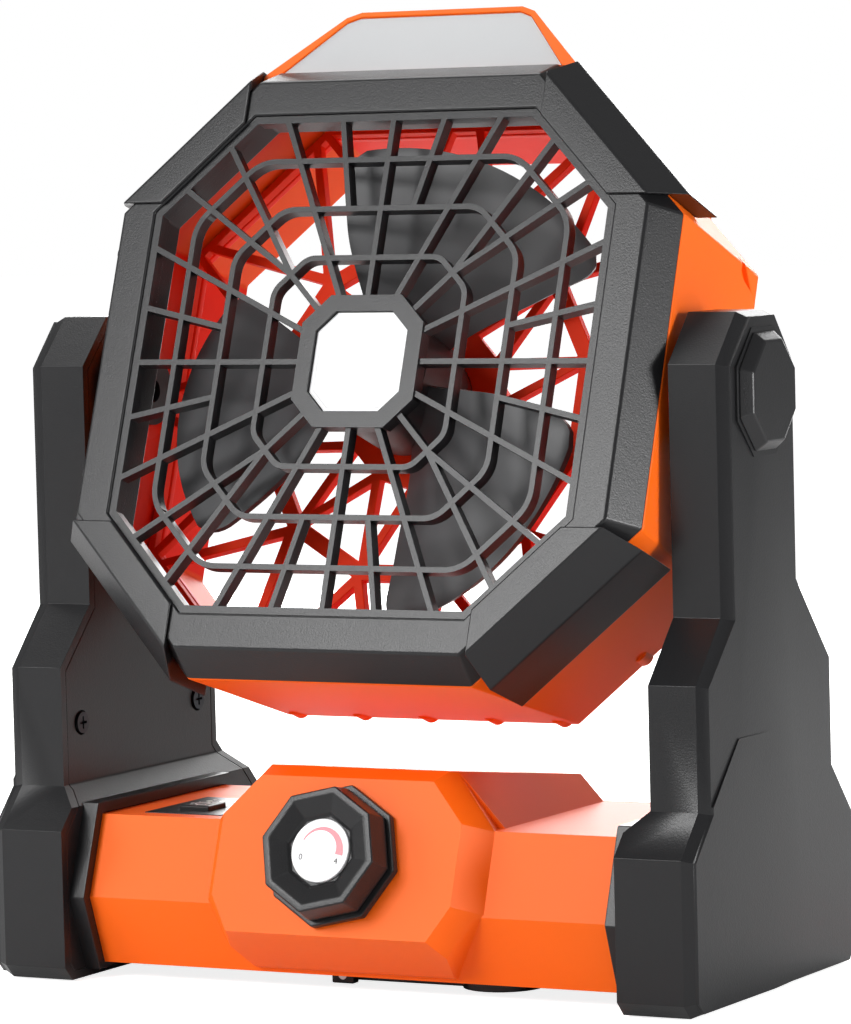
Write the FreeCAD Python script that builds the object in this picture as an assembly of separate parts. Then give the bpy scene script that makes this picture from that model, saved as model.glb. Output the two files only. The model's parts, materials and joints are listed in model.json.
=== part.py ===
"""Portable camping fan: a tilting octagonal fan head with a lamp, between two legs on a box base.

Millimetres. X is to the right as seen from the front, the front looks along -Y and Z is up.
While it is built, the tilt axis is straight above the origin and the head stands upright about it.
The head is then leaned back by REST_TILT, and everything is moved along Y so that the origin ends up
on the ground in the middle of the object's width and depth.
"""
import FreeCAD
import Part

import math
import os

V = FreeCAD.Vector

# General walls and clearances
WALL = 2.4
SEAT_GAP = 0.1
SOFT_GAP = 0.3
RUNNING_GAP = 0.05
SCREW_R = 1.5
SCREW_HEAD_R = 2.8
SCREW_HEAD_T = 1.8

# Widths and heights that the other sizes hang on
SEAM_HALF = 82.1
SIDE_HALF = 40.9
REAR_IN = 4.5
REAR_HALF = SEAM_HALF - REAR_IN
HEAD_SIDE_GAP = 2.8
BLOCK_TOP_Z = 57.9
HEAD_TO_BLOCK = 11.8
PIVOT_Z = BLOCK_TOP_Z + HEAD_TO_BLOCK + SEAM_HALF

# Stand
LEG_INNER_X = max(SEAM_HALF, REAR_HALF) + HEAD_SIDE_GAP
LEG_FOOT_STEP = 5.3
LEG_FOOT_INNER_X = LEG_INNER_X - LEG_FOOT_STEP
LEG_FRONT_WIDTH = 12.9
LEG_FRONT_EDGE_X = LEG_INNER_X + LEG_FRONT_WIDTH
LEG_RIDGE_WIDTH = 16.9
LEG_RIDGE_X = LEG_INNER_X + LEG_RIDGE_WIDTH
LEG_REAR_WIDTH = 13.3
LEG_REAR_EDGE_X = LEG_INNER_X + LEG_REAR_WIDTH
LEG_HOLLOW_WIDTH = 10.0
LEG_HOLLOW_X = LEG_INNER_X + LEG_HOLLOW_WIDTH
LEG_BEVEL_X = 2.6
LEG_BEVEL_IN = 1.3
LEG_OVER_PIVOT = 20.0
LEG_HEIGHT = PIVOT_Z + LEG_OVER_PIVOT
LEG_TOP_FRONT_Y = 7.2
LEG_TOP_REAR_Y = 8.8
LEG_UPPER_FRONT_Y = 19.7
LEG_UPPER_REAR_Y = 21.3
LEG_MIDDLE_FRONT_Y = 35.0
LEG_MIDDLE_REAR_Y = 43.8
LEG_LOWER_FRONT_Y = 45.4
LEG_LOWER_REAR_Y = 58.0
LEG_MIDDLE_TOP_Z = 81.3
LEG_MIDDLE_FRONT_BOTTOM_Z = 50.2
LEG_MIDDLE_REAR_BOTTOM_Z = 53.5
LEG_TOE_CHAMFER = 3.6
LEG_LEDGE_TOP_Z = 50.3
LEG_LEDGE_DROP = 5.0
LEG_PLATE_RISE = 0.9
LEG_PLATE_RUN = 27.0
LEG_SCREWS = ((-25.5, 66.0), (34.0, 66.0))
LEG_SCREW_LENGTH = 6.0
LEG_SCREW_SINK = 1.0
BASE_SCREWS = ((-22.0, 30.0), (22.0, 30.0), (0.0, 12.0))
BASE_SCREW_LENGTH = 7.0
POST_WALL = 2.0
FOOT_PAD_INSET = 10.0
FOOT_PAD_OUT = 1.0
FOOT_PAD_DEPTH = 14.0
FOOT_PAD_WIDTH = 9.0
FOOT_PAD_T = 2.0
FOOT_PAD_SHOWS = 0.5

# Base between the legs
BASE_BOTTOM_Z = 4.2
BASE_FOLD_Z = 22.2
BASE_SHOULDER_Z = 43.0
BASE_BOTTOM_Y = 32.5
BASE_FOLD_Y = 39.0
BASE_SHOULDER_Y = 31.5
COLLAR_T = 3.2
COLLAR_LENGTH = 4.4
COLLAR_SEAT_T = 0.2
COLLAR_DROP = 1.6
BLOCK_TOP_HALF = 26.2
BLOCK_HALF = 40.0
BLOCK_SIDE_LOW_Z = 22.0
BLOCK_BOTTOM_HALF = 29.0
BLOCK_FRONT_Y = -26.0
BLOCK_REAR_Y = 30.0
BLOCK_ROOF_Y = -33.0
BLOCK_ROOF_DROP = 7.9
FACE_LEAN = 20.0
FACE_Y = -42.3
FACE_Z = 36.1
FACE_TOP = 20.6
FACE_BOTTOM = 20.3
FACE_TOP_HALF = 24.8
FACE_HALF = 34.4
FACE_BOTTOM_HALF = 28.8
FACE_SIDE_TOP = 10.0
FACE_SIDE_BOTTOM = 11.0
FACE_BEVEL_DEPTH = 8.0
FACE_RISE = 5.5
FACE_REACH = 24.0
CHIN_TOP_Z = 17.0
CHIN_TOP_Y = 49.2
COVER_T = 2.2
COVER_SCREW_IN = 13.6
COVER_SCREW_X = LEG_FOOT_INNER_X - COVER_SCREW_IN
COVER_SCREW_Y = 25.0
COVER_SCREWS = [(sx * COVER_SCREW_X, sy * COVER_SCREW_Y) for sy in (-1, 1) for sx in (-1, 1)]
COVER_SCREW_LENGTH = 7.0
COVER_SCREW_SINK = 0.9
COVER_POST_TOP_Z = 16.2

# Controls
KNOB_BASE_HALF = 17.3
KNOB_BASE_T = 2.4
KNOB_HALF = 15.2
KNOB_FRONT = 10.2
KNOB_GAP = 0.4
KNOB_DISH = 1.4
KNOB_LIP = 3.2
KNOB_SKIRT_OUT = 0.8
KNOB_SKIRT_T = 1.6
DIAL_RIM = 1.0
KNOB_FLOOR = 1.5
DIAL_R = 8.2
DIAL_T = 1.0
KNOB_TURN_SHOWN = 13.5
SWITCH_SHAFT_R = 3.0
SWITCH_COLLAR_R = 5.0
SWITCH_BODY = 16.0
SWITCH_BODY_DEPTH = 9.0
SWITCH_COLLAR_T = 1.2
SWITCH_SHOULDER = 0.3
SWITCH_PIN_HALF = 0.5
SWITCH_PIN_LENGTH = 3.0
SWITCH_PIN_PITCH = 4.0
PANEL_END_GAP = 13.6
PANEL_BLOCK_GAP = 3.0
PANEL_X0 = -(LEG_FOOT_INNER_X - PANEL_END_GAP)
PANEL_X1 = -(BLOCK_HALF + PANEL_BLOCK_GAP)
PANEL_Y0 = -26.0
PANEL_Y1 = 6.0
PANEL_T = 1.6
PANEL_PROUD = 0.2
PANEL_LEDGE = 2.0
PANEL_ROOM_DEPTH = 5.0
PANEL_TO_FLANGE = 0.4
BUTTON_HALF = 4.5
BUTTON_RISE = 1.3
BUTTON_TRAVEL = 0.8
BUTTON_Y = -15.5
BUTTON_FLANGE_T = 1.2
BUTTON_FLANGE_OUT = 0.9
BUTTON_TO_BOARD = 2.2
BUTTON_SWITCH_HALF = 3.0
BUTTON_SWITCH_T = 1.6
BUTTON_PIN_R = 1.6
BUTTON_PIN_T = 0.3
GAUGE_COUNT = 4
GAUGE_PITCH = 4.0
GAUGE_Y = -2.0
GAUGE_R = 0.9
GAUGE_BAR_HALF = 1.5

# Power
CELL_R = 9.2
CELL_LENGTH = 65.0
CELL_PITCH = 20.0
CELL_Y = 13.0
CELL_Z = 19.0
TRAY_END = 2.5
BOARD_T = 1.6
PORT_END_GAP = 21.6
PORT_X = LEG_FOOT_INNER_X - PORT_END_GAP
PORT_WIDTH = 9.0
PORT_HEIGHT = 3.4
PORT_DEPTH = 7.5

# Hanging hook under the base
HOOK_Y = -17.0
HOOK_HINGE_X = -9.0
HOOK_T = 3.2
HOOK_Z = 1.4
HOOK_STEM_HALF = 4.0
HOOK_RING_X = 34.0
HOOK_RING_R = 10.5
HOOK_BORE_R = 6.3
HOOK_PIN_R = 1.2
HOOK_CLEAR = 1.0
HOOK_POCKET_TOP = 7.6

# Head
REST_TILT = 20.0
HEAD_FRONT_Y = -26.3
HEAD_SEAM_Y = -17.0
HEAD_REAR_Y = 39.5
APERTURE_IN = 15.2
APERTURE_HALF = SEAM_HALF - APERTURE_IN
BEZEL_FRONT_IN = 6.0
BEZEL_FRONT_HALF = SEAM_HALF - BEZEL_FRONT_IN
REAR_SIDE_GROW = 2.1
REAR_SIDE_HALF = SIDE_HALF + REAR_SIDE_GROW
BEZEL_TUBE_WALL = 2.0
BEZEL_TUBE_END_Y = -12.5
GUARD_FRONT_T = 1.2
GUARD_END_Y = 1.5
GUARD_FRONT_OUT = 1.4
GUARD_FRONT_SIDE_OUT = 1.0
GUARD_SEAM_OUT = 1.9
GUARD_SEAM_SIDE_OUT = 4.0
GUARD_END_IN = 1.4
GUARD_END_SIDE_OUT = 5.0
GUARD_START_OUT = 2.1
GUARD_SEAM_START_OUT = 5.1
HOUSING_SCREW_IN = 8.7
HOUSING_SCREW_X = SEAM_HALF - HOUSING_SCREW_IN
HOUSING_SCREW_Z = 30.0
HOUSING_SCREWS = [(sx * HOUSING_SCREW_X, sz * HOUSING_SCREW_Z) for sx in (1, -1) for sz in (1, -1)]
HOUSING_SCREW_LENGTH = 9.0
LUG_FRONT_Y = HEAD_SEAM_Y + 1.2
LUG_T = 3.0
LUG_HALF = 4.0
RECESS_FRONT_Y = 27.0
RECESS_REAR_Y = 35.8
RECESS_Z0 = 37.5
RECESS_Z1 = 45.0
RECESS_SLANT = 1.9
RECESS_DEPTH = 1.0

# Front grille
GRILLE_T = 3.6
GRILLE_SETBACK = 0.8
RIB_W = 1.5
RING_SHARES = (0.4155, 0.6143, 0.8117)
RING_HALVES = [share * APERTURE_HALF for share in RING_SHARES]
RING_CUT_SHARE = 0.31
RING_ROUND_SHARE = 0.2
HUB_HALF = 17.6
HUB_PLATE_HALF = 13.2
HUB_PLATE_T = 1.2
HUB_SIDE_SHARE = 0.58
HUB_PLATE_SIDE_SHARE = 0.61
SIDE_RIB_SHARES = (-0.77, -0.367, 0.0, 0.367, 0.77)
SIDE_RIB_ENDS = [share * SIDE_HALF for share in SIDE_RIB_SHARES]
CORNER_RIB_SHIFT = 8.2
HUB_PROUD = 0.6
HUB_PLATE_SINK = 0.4
GRILLE_RIM = 2.0

# Rotor and motor
BLADE_COUNT = 3
BLADE_EDGE_IN = 4.9
BLADE_R = APERTURE_HALF - BLADE_EDGE_IN
BLADE_SWEEP_HALF = 10.6
BLADE_START_TURN = 12.0
BLADE_T = 1.6
BLADE_ROOT_R = 12.0
BLADE_ROOT_CHORD = 21.0
BLADE_TIP_CHORD = 88.0
BLADE_ROOT_PITCH = 42.0
BLADE_TIP_PITCH = 17.0
ROTOR_HUB_R = 16.0
ROTOR_FRONT_Y = -18.5
ROTOR_REAR_Y = 5.0
ROTOR_Y = -6.5
MOTOR_R = 13.8
MOTOR_FRONT_Y = 2.0
MOTOR_REAR_Y = 32.0
MOTOR_SHAFT_R = 1.5
MOTOR_BUSH_R = 4.0
MOTOR_BUSH_T = 2.4
MOTOR_SHAFT_STOP = 3.0
MOTOR_SCREWS = ((8.5, 0.0), (-8.5, 0.0))
MOTOR_SCREW_BITE = 4.0
MOTOR_CUP_WALL = 2.2
MOTOR_CUP_END_Y = MOTOR_REAR_Y + MOTOR_CUP_WALL
ROTOR_HUB_FACE_T = 2.4
REAR_GRILLE_Y = 12.0
REAR_GRILLE_T = 3.0
REAR_GRILLE_BACK_Y = REAR_GRILLE_Y + REAR_GRILLE_T
REAR_LEDGE_T = 2.4
REAR_LEDGE_W = 2.2
REAR_DISC_R = 22.0
REAR_RING_R = 47.0
REAR_BAR = 2.2
REAR_SECTORS = 12
REAR_POINT_SHARE = 0.97
REAR_FOOT_SHARE = 1.02
REAR_FIELD_IN = 2.0
BUMP_PITCH_SHARE = 0.4535
BUMP_PITCH = REAR_SIDE_HALF * BUMP_PITCH_SHARE
BUMP_R = 2.6
BUMP_PROUD = 0.9
BUMP_LENGTH = 4.6

# Lamp on top of the head
LAMP_BEHIND_SEAM = 1.4
LAMP_Y = HEAD_SEAM_Y + LAMP_BEHIND_SEAM
LAMP_OVER_SEAM = 1.3
LAMP_Z = SEAM_HALF + LAMP_OVER_SEAM
LAMP_LEAN = 20.0
LAMP_HEIGHT = 19.2
LAMP_BASE_OUT = 3.5
LAMP_BASE_HALF = SIDE_HALF + LAMP_BASE_OUT
LAMP_TOP_IN = 14.8
LAMP_TOP_HALF = SIDE_HALF - LAMP_TOP_IN
LAMP_DEPTH = 27.0
LAMP_ROOT = 12.0
LAMP_ROOF_SHARE = 0.45
LAMP_TAIL_RISE = 0.4
LAMP_FOOT = 6.0
LAMP_CORNER = 2.4
LAMP_ROOM_DEPTH = 9.0
LENS_FOOT = -1.4
LENS_FOOT_IN = 1.6
LAMP_RIM = 1.5
LAMP_WALL = 1.8
LENS_T = 1.6
LENS_SETBACK = 0.5
LED_COUNT = 6
LED_SIZE = 2.8
LED_T = 1.0
LAMP_BOARD_OUT = 2.0
LAMP_BOARD_Y = 7.2
LAMP_BOARD_T = 1.7
LAMP_BOARD_Z = 8.5
LAMP_BOARD_HALF = 4.5
LED_END_IN = 5.0

# Tilt hinge
SHAFT_R = 6.0
BUSH_WALL = 1.8
SHAFT_FLANGE_R = 9.0
SHAFT_FLANGE_T = 2.2
SHAFT_FLANGE_GAP = 0.3
SHAFT_BORE_R = 3.0
HEAD_BOSS_R = 13.0
WASHER_R = 12.0
WASHER_T = 1.8
NUT_R = 9.0
NUT_T = 2.6
NUT_SEAT_T = 1.6
NUT_GAP = 0.2
CAP_HALF = 12.5
CAP_RIM_HALF = 15.0
CAP_RISE = 3.2
CAP_TOP_X = LEG_RIDGE_X + CAP_RISE
CAP_SOCKET_DEPTH = 1.2
PLINTH_HALF = 16.0
PLINTH_RISE = 0.1
PLINTH_END_X = LEG_RIDGE_X + PLINTH_RISE

# Small allowances for the cuts
FAR = 400.0
TINY = 0.01
BITE = 0.5
NUT_ROOM = 0.8
SCREW_GAP = 0.2


def polygon_face(points, axis, at):
    """Flat face through (a, b) pairs: (y, z) across x, (x, z) across y and (x, y) across z."""
    if axis == "x":
        corners = [V(at, a, b) for a, b in points]
    elif axis == "y":
        corners = [V(a, at, b) for a, b in points]
    else:
        corners = [V(a, b, at) for a, b in points]
    return Part.Face(Part.makePolygon(corners + [corners[0]]))


def prism(points, axis, start, end):
    direction = {"x": V(1, 0, 0), "y": V(0, 1, 0), "z": V(0, 0, 1)}[axis]
    return polygon_face(points, axis, start).extrude(direction * (end - start))


def box(x0, x1, y0, y1, z0, z1):
    return Part.makeBox(x1 - x0, y1 - y0, z1 - z0, V(x0, y0, z0))


def rod(radius, start, end):
    """Round bar from one point to another."""
    way = V(*end).sub(V(*start))
    return Part.makeCylinder(radius, way.Length, V(*start), way)


def tube(outer, inner, start, end):
    return rod(outer, start, end).cut(rod(inner, start, end))


def between(outline_a, at_a, outline_b, at_b, axis="y"):
    """Straight-sided solid between two outlines with as many corners."""
    wires = [polygon_face(outline_a, axis, at_a).OuterWire, polygon_face(outline_b, axis, at_b).OuterWire]
    return Part.makeLoft(wires, True, True)


def joined(shapes):
    result = shapes[0]
    if len(shapes) > 1:
        result = shapes[0].fuse(shapes[1:])
    return result.removeSplitter()


def inset(points, amount):
    """Moves each side of an outline inwards, corners staying sharp; a negative amount grows it."""
    area = sum(a[0] * b[1] - b[0] * a[1] for a, b in zip(points, points[1:] + points[:1]))
    side = 1.0 if area > 0 else -1.0
    moved = []
    for before, here, after in zip(points[-1:] + points[:-1], points, points[1:] + points[:1]):
        u = unit(before, here)
        w = unit(here, after)
        n1 = (-u[1] * side, u[0] * side)
        n2 = (-w[1] * side, w[0] * side)
        scale = amount / (1.0 + n1[0] * n2[0] + n1[1] * n2[1])
        moved.append((here[0] + (n1[0] + n2[0]) * scale, here[1] + (n1[1] + n2[1]) * scale))
    return moved


def unit(a, b):
    length = math.hypot(b[0] - a[0], b[1] - a[1])
    return ((b[0] - a[0]) / length, (b[1] - a[1]) / length)


def octagon(half, side_half):
    """Square with cut corners: `half` to each side, whose straight run is twice `side_half`."""
    return [(side_half, half), (half, side_half), (half, -side_half), (side_half, -half),
            (-side_half, -half), (-half, -side_half), (-half, side_half), (-side_half, half)]


def even_octagon(half):
    return octagon(half, half * math.tan(math.pi / 8))


def mirrored(shape):
    return shape.mirror(V(0, 0, 0), V(1, 0, 0))


def leaned(shape, lean, y, z):
    """Leans a shape back about the X axis and moves its own origin to (0, y, z)."""
    moved = shape.copy()
    moved.rotate(V(0, 0, 0), V(1, 0, 0), -lean)
    moved.translate(V(0, y, z))
    return moved


def on_head(shape):
    return leaned(shape, REST_TILT, 0, PIVOT_Z)


def on_face(shape):
    return leaned(shape, FACE_LEAN, FACE_Y, FACE_Z)


def screw(head_centre, direction, length):
    """Pan-head screw: the head's flat top is at `head_centre`, the shank points along `direction`."""
    way = V(*direction)
    way.normalize()
    top = V(*head_centre)
    head = Part.makeCylinder(SCREW_HEAD_R, SCREW_HEAD_T, top, way)
    shank = Part.makeCylinder(SCREW_R, length, top.add(way * SCREW_HEAD_T), way)
    slot_depth = SCREW_HEAD_T * 0.5
    cross = Part.makeBox(SCREW_HEAD_R * 1.2, 0.7, slot_depth)
    cross.translate(V(-SCREW_HEAD_R * 0.6, -0.35, 0))
    other = cross.copy()
    other.rotate(V(0, 0, 0), V(0, 0, 1), 90)
    slots = cross.fuse(other)
    slots.Placement = FreeCAD.Placement(top, FreeCAD.Rotation(V(0, 0, 1), way))
    return head.fuse(shank).cut(slots)


def save(name, shape):
    shape.exportStep(os.path.join("parts", name + ".step"))
    print(name, "solids", len(shape.Solids), "volume", round(shape.Volume, 1), "valid", shape.isValid())


# Legs

def leg_profile():
    """Side view of a leg: every slope is at 45 degrees."""
    front_shoulder_z = LEG_HEIGHT - (LEG_UPPER_FRONT_Y - LEG_TOP_FRONT_Y)
    rear_shoulder_z = LEG_HEIGHT - (LEG_UPPER_REAR_Y - LEG_TOP_REAR_Y)
    front_upper_z = LEG_MIDDLE_TOP_Z + LEG_MIDDLE_FRONT_Y - LEG_UPPER_FRONT_Y
    rear_upper_z = LEG_MIDDLE_TOP_Z + LEG_MIDDLE_REAR_Y - LEG_UPPER_REAR_Y
    front_lower_z = LEG_MIDDLE_FRONT_BOTTOM_Z - LEG_LOWER_FRONT_Y + LEG_MIDDLE_FRONT_Y
    rear_lower_z = LEG_MIDDLE_REAR_BOTTOM_Z - LEG_LOWER_REAR_Y + LEG_MIDDLE_REAR_Y
    floor_z = FOOT_PAD_SHOWS
    return [
        (-LEG_TOP_FRONT_Y, LEG_HEIGHT), (-LEG_UPPER_FRONT_Y, front_shoulder_z),
        (-LEG_UPPER_FRONT_Y, front_upper_z), (-LEG_MIDDLE_FRONT_Y, LEG_MIDDLE_TOP_Z),
        (-LEG_MIDDLE_FRONT_Y, LEG_MIDDLE_FRONT_BOTTOM_Z), (-LEG_LOWER_FRONT_Y, front_lower_z),
        (-LEG_LOWER_FRONT_Y, floor_z + LEG_TOE_CHAMFER), (-LEG_LOWER_FRONT_Y + LEG_TOE_CHAMFER, floor_z),
        (LEG_LOWER_REAR_Y - LEG_TOE_CHAMFER, floor_z), (LEG_LOWER_REAR_Y, floor_z + LEG_TOE_CHAMFER),
        (LEG_LOWER_REAR_Y, rear_lower_z), (LEG_MIDDLE_REAR_Y, LEG_MIDDLE_REAR_BOTTOM_Z),
        (LEG_MIDDLE_REAR_Y, LEG_MIDDLE_TOP_Z), (LEG_UPPER_REAR_Y, rear_upper_z),
        (LEG_UPPER_REAR_Y, rear_shoulder_z), (LEG_TOP_REAR_Y, LEG_HEIGHT),
    ]


def leg_side_space(shift):
    """Everything outside the leg's stepped inner face, moved out by `shift`."""
    outline = [(LEG_INNER_X, FAR), (LEG_INNER_X, LEG_LEDGE_TOP_Z),
               (LEG_FOOT_INNER_X, LEG_LEDGE_TOP_Z - LEG_LEDGE_DROP), (LEG_FOOT_INNER_X, -FAR),
               (FAR, -FAR), (FAR, FAR)]
    return prism(inset(outline, shift), "y", -FAR, FAR)


def leg_roof():
    """The outer face: two planes that meet at an upright ridge over the tilt axis."""
    front = (LEG_FRONT_EDGE_X + LEG_BEVEL_X, -LEG_LOWER_FRONT_Y)
    rear = (LEG_REAR_EDGE_X, LEG_LOWER_REAR_Y)
    outline = [(0, -LEG_LOWER_FRONT_Y), front, (LEG_RIDGE_X, 0), rear, (0, LEG_LOWER_REAR_Y)]
    return prism(outline, "z", -1, LEG_HEIGHT + 1)


def leg_front_plate():
    """Low raised plate on the outer face, ahead of the ridge and below the 45 degree line."""
    toe_z = FOOT_PAD_SHOWS
    low_z = LEG_MIDDLE_FRONT_BOTTOM_Z - LEG_LOWER_FRONT_Y + LEG_MIDDLE_FRONT_Y
    outline = [(-LEG_LOWER_FRONT_Y, low_z), (-LEG_LOWER_FRONT_Y + LEG_PLATE_RUN, low_z + LEG_PLATE_RUN),
               (0, low_z + LEG_PLATE_RUN), (0, toe_z), (-LEG_LOWER_FRONT_Y, toe_z)]
    side = prism(outline, "x", LEG_FRONT_EDGE_X - 1, LEG_RIDGE_X + 3)
    plan = [(LEG_FRONT_EDGE_X - 1, -LEG_LOWER_FRONT_Y + LEG_BEVEL_IN),
            (LEG_FRONT_EDGE_X + LEG_BEVEL_X + LEG_PLATE_RISE, -LEG_LOWER_FRONT_Y + LEG_BEVEL_IN),
            (LEG_RIDGE_X, 0), (LEG_FRONT_EDGE_X - 1, 0)]
    body = side.common(prism(plan, "z", -1, LEG_HEIGHT))
    inner = inset(leg_profile(), LEG_BEVEL_IN)
    return body.common(prism(inner, "x", 0, FAR))


def leg_body(profile):
    outer_start = LEG_FRONT_EDGE_X
    beveled = between(profile, outer_start, inset(profile, LEG_BEVEL_IN), outer_start + LEG_BEVEL_X, "x")
    crown = prism(inset(profile, LEG_BEVEL_IN), "x", outer_start + LEG_BEVEL_X, LEG_RIDGE_X + 2)
    body = joined([prism(profile, "x", LEG_FOOT_INNER_X, outer_start), beveled, crown])
    return body.common(leg_roof()).common(leg_side_space(0))


def hex_profile(grow):
    """Side view of the base box, grown outwards by `grow`."""
    outline = [(-BASE_SHOULDER_Y, BASE_SHOULDER_Z), (-BASE_FOLD_Y, BASE_FOLD_Z), (-BASE_BOTTOM_Y, BASE_BOTTOM_Z),
               (BASE_BOTTOM_Y, BASE_BOTTOM_Z), (BASE_FOLD_Y, BASE_FOLD_Z), (BASE_SHOULDER_Y, BASE_SHOULDER_Z)]
    return inset(outline, -grow)


def pivot_rod(radius, x0, x1):
    return rod(radius, (x0, 0, PIVOT_Z), (x1, 0, PIVOT_Z))


def across_x(outline, x0, x1):
    """Prism along X whose outline is centred on the tilt axis."""
    return prism([(a, b + PIVOT_Z) for a, b in outline], "x", x0, x1)


def right_leg_shell():
    profile = leg_profile()
    cavity = prism(inset(profile, WALL), "x", LEG_FOOT_INNER_X - 5, LEG_HOLLOW_X)
    shell = joined([leg_body(profile), leg_front_plate()]).cut(cavity)
    plinth = across_x(even_octagon(PLINTH_HALF), LEG_HOLLOW_X, PLINTH_END_X)
    post_start = LEG_INNER_X + COVER_T + SEAT_GAP
    post_end = LEG_HOLLOW_X + BITE
    boss = pivot_rod(SHAFT_R + BUSH_WALL + WALL, post_start, post_end)
    posts = [rod(SCREW_R + POST_WALL, (post_start, y, z), (post_end, y, z)) for y, z in LEG_SCREWS]
    shell = joined([shell, plinth, boss] + posts)
    bush_hole = pivot_rod(SHAFT_R + BUSH_WALL, 0, LEG_HOLLOW_X)
    nut_room = pivot_rod(NUT_R + NUT_ROOM, LEG_HOLLOW_X + NUT_SEAT_T, FAR)
    shaft_hole = pivot_rod(SHAFT_R + BITE, 0, FAR)
    shell = shell.cut(joined([bush_hole, nut_room, shaft_hole]))
    for y, z in LEG_SCREWS:
        shell = shell.cut(rod(SCREW_R, (0, y, z), (LEG_HOLLOW_X - BITE, y, z)))
    for pocket in foot_pockets(SEAT_GAP):
        shell = shell.cut(pocket)
    return shell


def foot_pockets(gap):
    """Room for the two pads under the right leg, or the pads themselves with no gap."""
    middle = (LEG_FOOT_INNER_X + LEG_FRONT_EDGE_X) / 2 + FOOT_PAD_OUT
    top = FOOT_PAD_SHOWS + FOOT_PAD_T - (FOOT_PAD_SHOWS if gap == 0 else 0)
    pockets = []
    from_toe = LEG_TOE_CHAMFER + FOOT_PAD_INSET
    for y in (-LEG_LOWER_FRONT_Y + from_toe, LEG_LOWER_REAR_Y - from_toe):
        pockets.append(box(middle - FOOT_PAD_WIDTH / 2 - gap, middle + FOOT_PAD_WIDTH / 2 + gap,
                           y - FOOT_PAD_DEPTH / 2 - gap, y + FOOT_PAD_DEPTH / 2 + gap, 0 if gap == 0 else -1, top))
    return pockets


def right_leg_cover():
    """Inner side of the leg with the six-sided collar that takes the end of the base."""
    plate = leg_side_space(0).cut(leg_side_space(COVER_T))
    plate = plate.common(prism(inset(leg_profile(), WALL + SEAT_GAP), "x", 0, LEG_HOLLOW_X))
    collar_x = LEG_FOOT_INNER_X - COLLAR_LENGTH
    collar = prism(hex_profile(COLLAR_T), "x", collar_x, LEG_FOOT_INNER_X)
    collar = collar.cut(prism(hex_profile(SEAT_GAP), "x", collar_x - 1, LEG_FOOT_INNER_X + TINY))
    collar = collar.cut(box(0, FAR, -FAR, FAR, -FAR, BASE_BOTTOM_Z - COLLAR_DROP))
    seat = prism(hex_profile(COLLAR_T - COLLAR_SEAT_T), "x", LEG_FOOT_INNER_X, LEG_FOOT_INNER_X + COVER_T)
    seat = seat.common(prism(inset(leg_profile(), WALL + SEAT_GAP), "x", 0, FAR))
    cover = joined([plate, collar, seat])
    holes = [pivot_rod(SHAFT_R + BUSH_WALL, 0, FAR)]
    for y, z in LEG_SCREWS:
        holes.append(rod(SCREW_R + SCREW_GAP, (0, y, z), (FAR, y, z)))
        holes.append(rod(SCREW_HEAD_R + BITE, (0, y, z), (LEG_INNER_X + COVER_T - LEG_SCREW_SINK, y, z)))
    for y, z in BASE_SCREWS:
        holes.append(rod(SCREW_R + SCREW_GAP, (0, y, z), (FAR, y, z)))
    for hole in holes:
        cover = cover.cut(hole)
    return cover


def leg_screws():
    """Two screws close each leg and three in each leg hold the base."""
    right = []
    for y, z in LEG_SCREWS:
        seat_x = LEG_INNER_X + COVER_T - LEG_SCREW_SINK
        right.append(screw((seat_x - SCREW_HEAD_T, y, z), (1, 0, 0), LEG_SCREW_LENGTH))
    for y, z in BASE_SCREWS:
        right.append(screw((LEG_FOOT_INNER_X + COVER_T + SCREW_HEAD_T, y, z), (-1, 0, 0), BASE_SCREW_LENGTH))
    return Part.makeCompound(right + [mirrored(one) for one in right])


# Base

def face_octagon(grow_width, grow_height, top_half, bottom_half):
    half = FACE_HALF + grow_width
    return [(top_half, FACE_TOP + grow_height), (half, FACE_SIDE_TOP), (half, -FACE_SIDE_BOTTOM),
            (bottom_half, -FACE_BOTTOM - grow_height), (-bottom_half, -FACE_BOTTOM - grow_height),
            (-half, -FACE_SIDE_BOTTOM), (-half, FACE_SIDE_TOP), (-top_half, FACE_TOP + grow_height)]


def block_outline():
    return [(BLOCK_TOP_HALF, BLOCK_TOP_Z), (BLOCK_HALF, BASE_SHOULDER_Z), (BLOCK_HALF, BLOCK_SIDE_LOW_Z),
            (BLOCK_BOTTOM_HALF, BASE_BOTTOM_Z), (-BLOCK_BOTTOM_HALF, BASE_BOTTOM_Z),
            (-BLOCK_HALF, BLOCK_SIDE_LOW_Z), (-BLOCK_HALF, BASE_SHOULDER_Z), (-BLOCK_TOP_HALF, BLOCK_TOP_Z)]


def block_space(shift):
    """Under the block's top, which falls towards the rear, moved in by `shift`."""
    rear_z = BLOCK_TOP_Z - BLOCK_ROOF_DROP
    outline = [(-FAR, -FAR), (BLOCK_REAR_Y, -FAR), (BLOCK_REAR_Y, rear_z), (BLOCK_ROOF_Y, BLOCK_TOP_Z),
               (-FAR, BLOCK_TOP_Z)]
    return prism(inset(outline, shift), "x", -FAR, FAR)


def chin_space(shift):
    """Above the sloping underside of the block's front, moved in by `shift`."""
    outline = inset([(-BASE_BOTTOM_Y, BASE_BOTTOM_Z), (-CHIN_TOP_Y, CHIN_TOP_Z), (-FAR, CHIN_TOP_Z), (-FAR, FAR),
                     (FAR, FAR), (FAR, BASE_BOTTOM_Z)], shift)
    return prism(outline, "x", -FAR, FAR)


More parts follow.
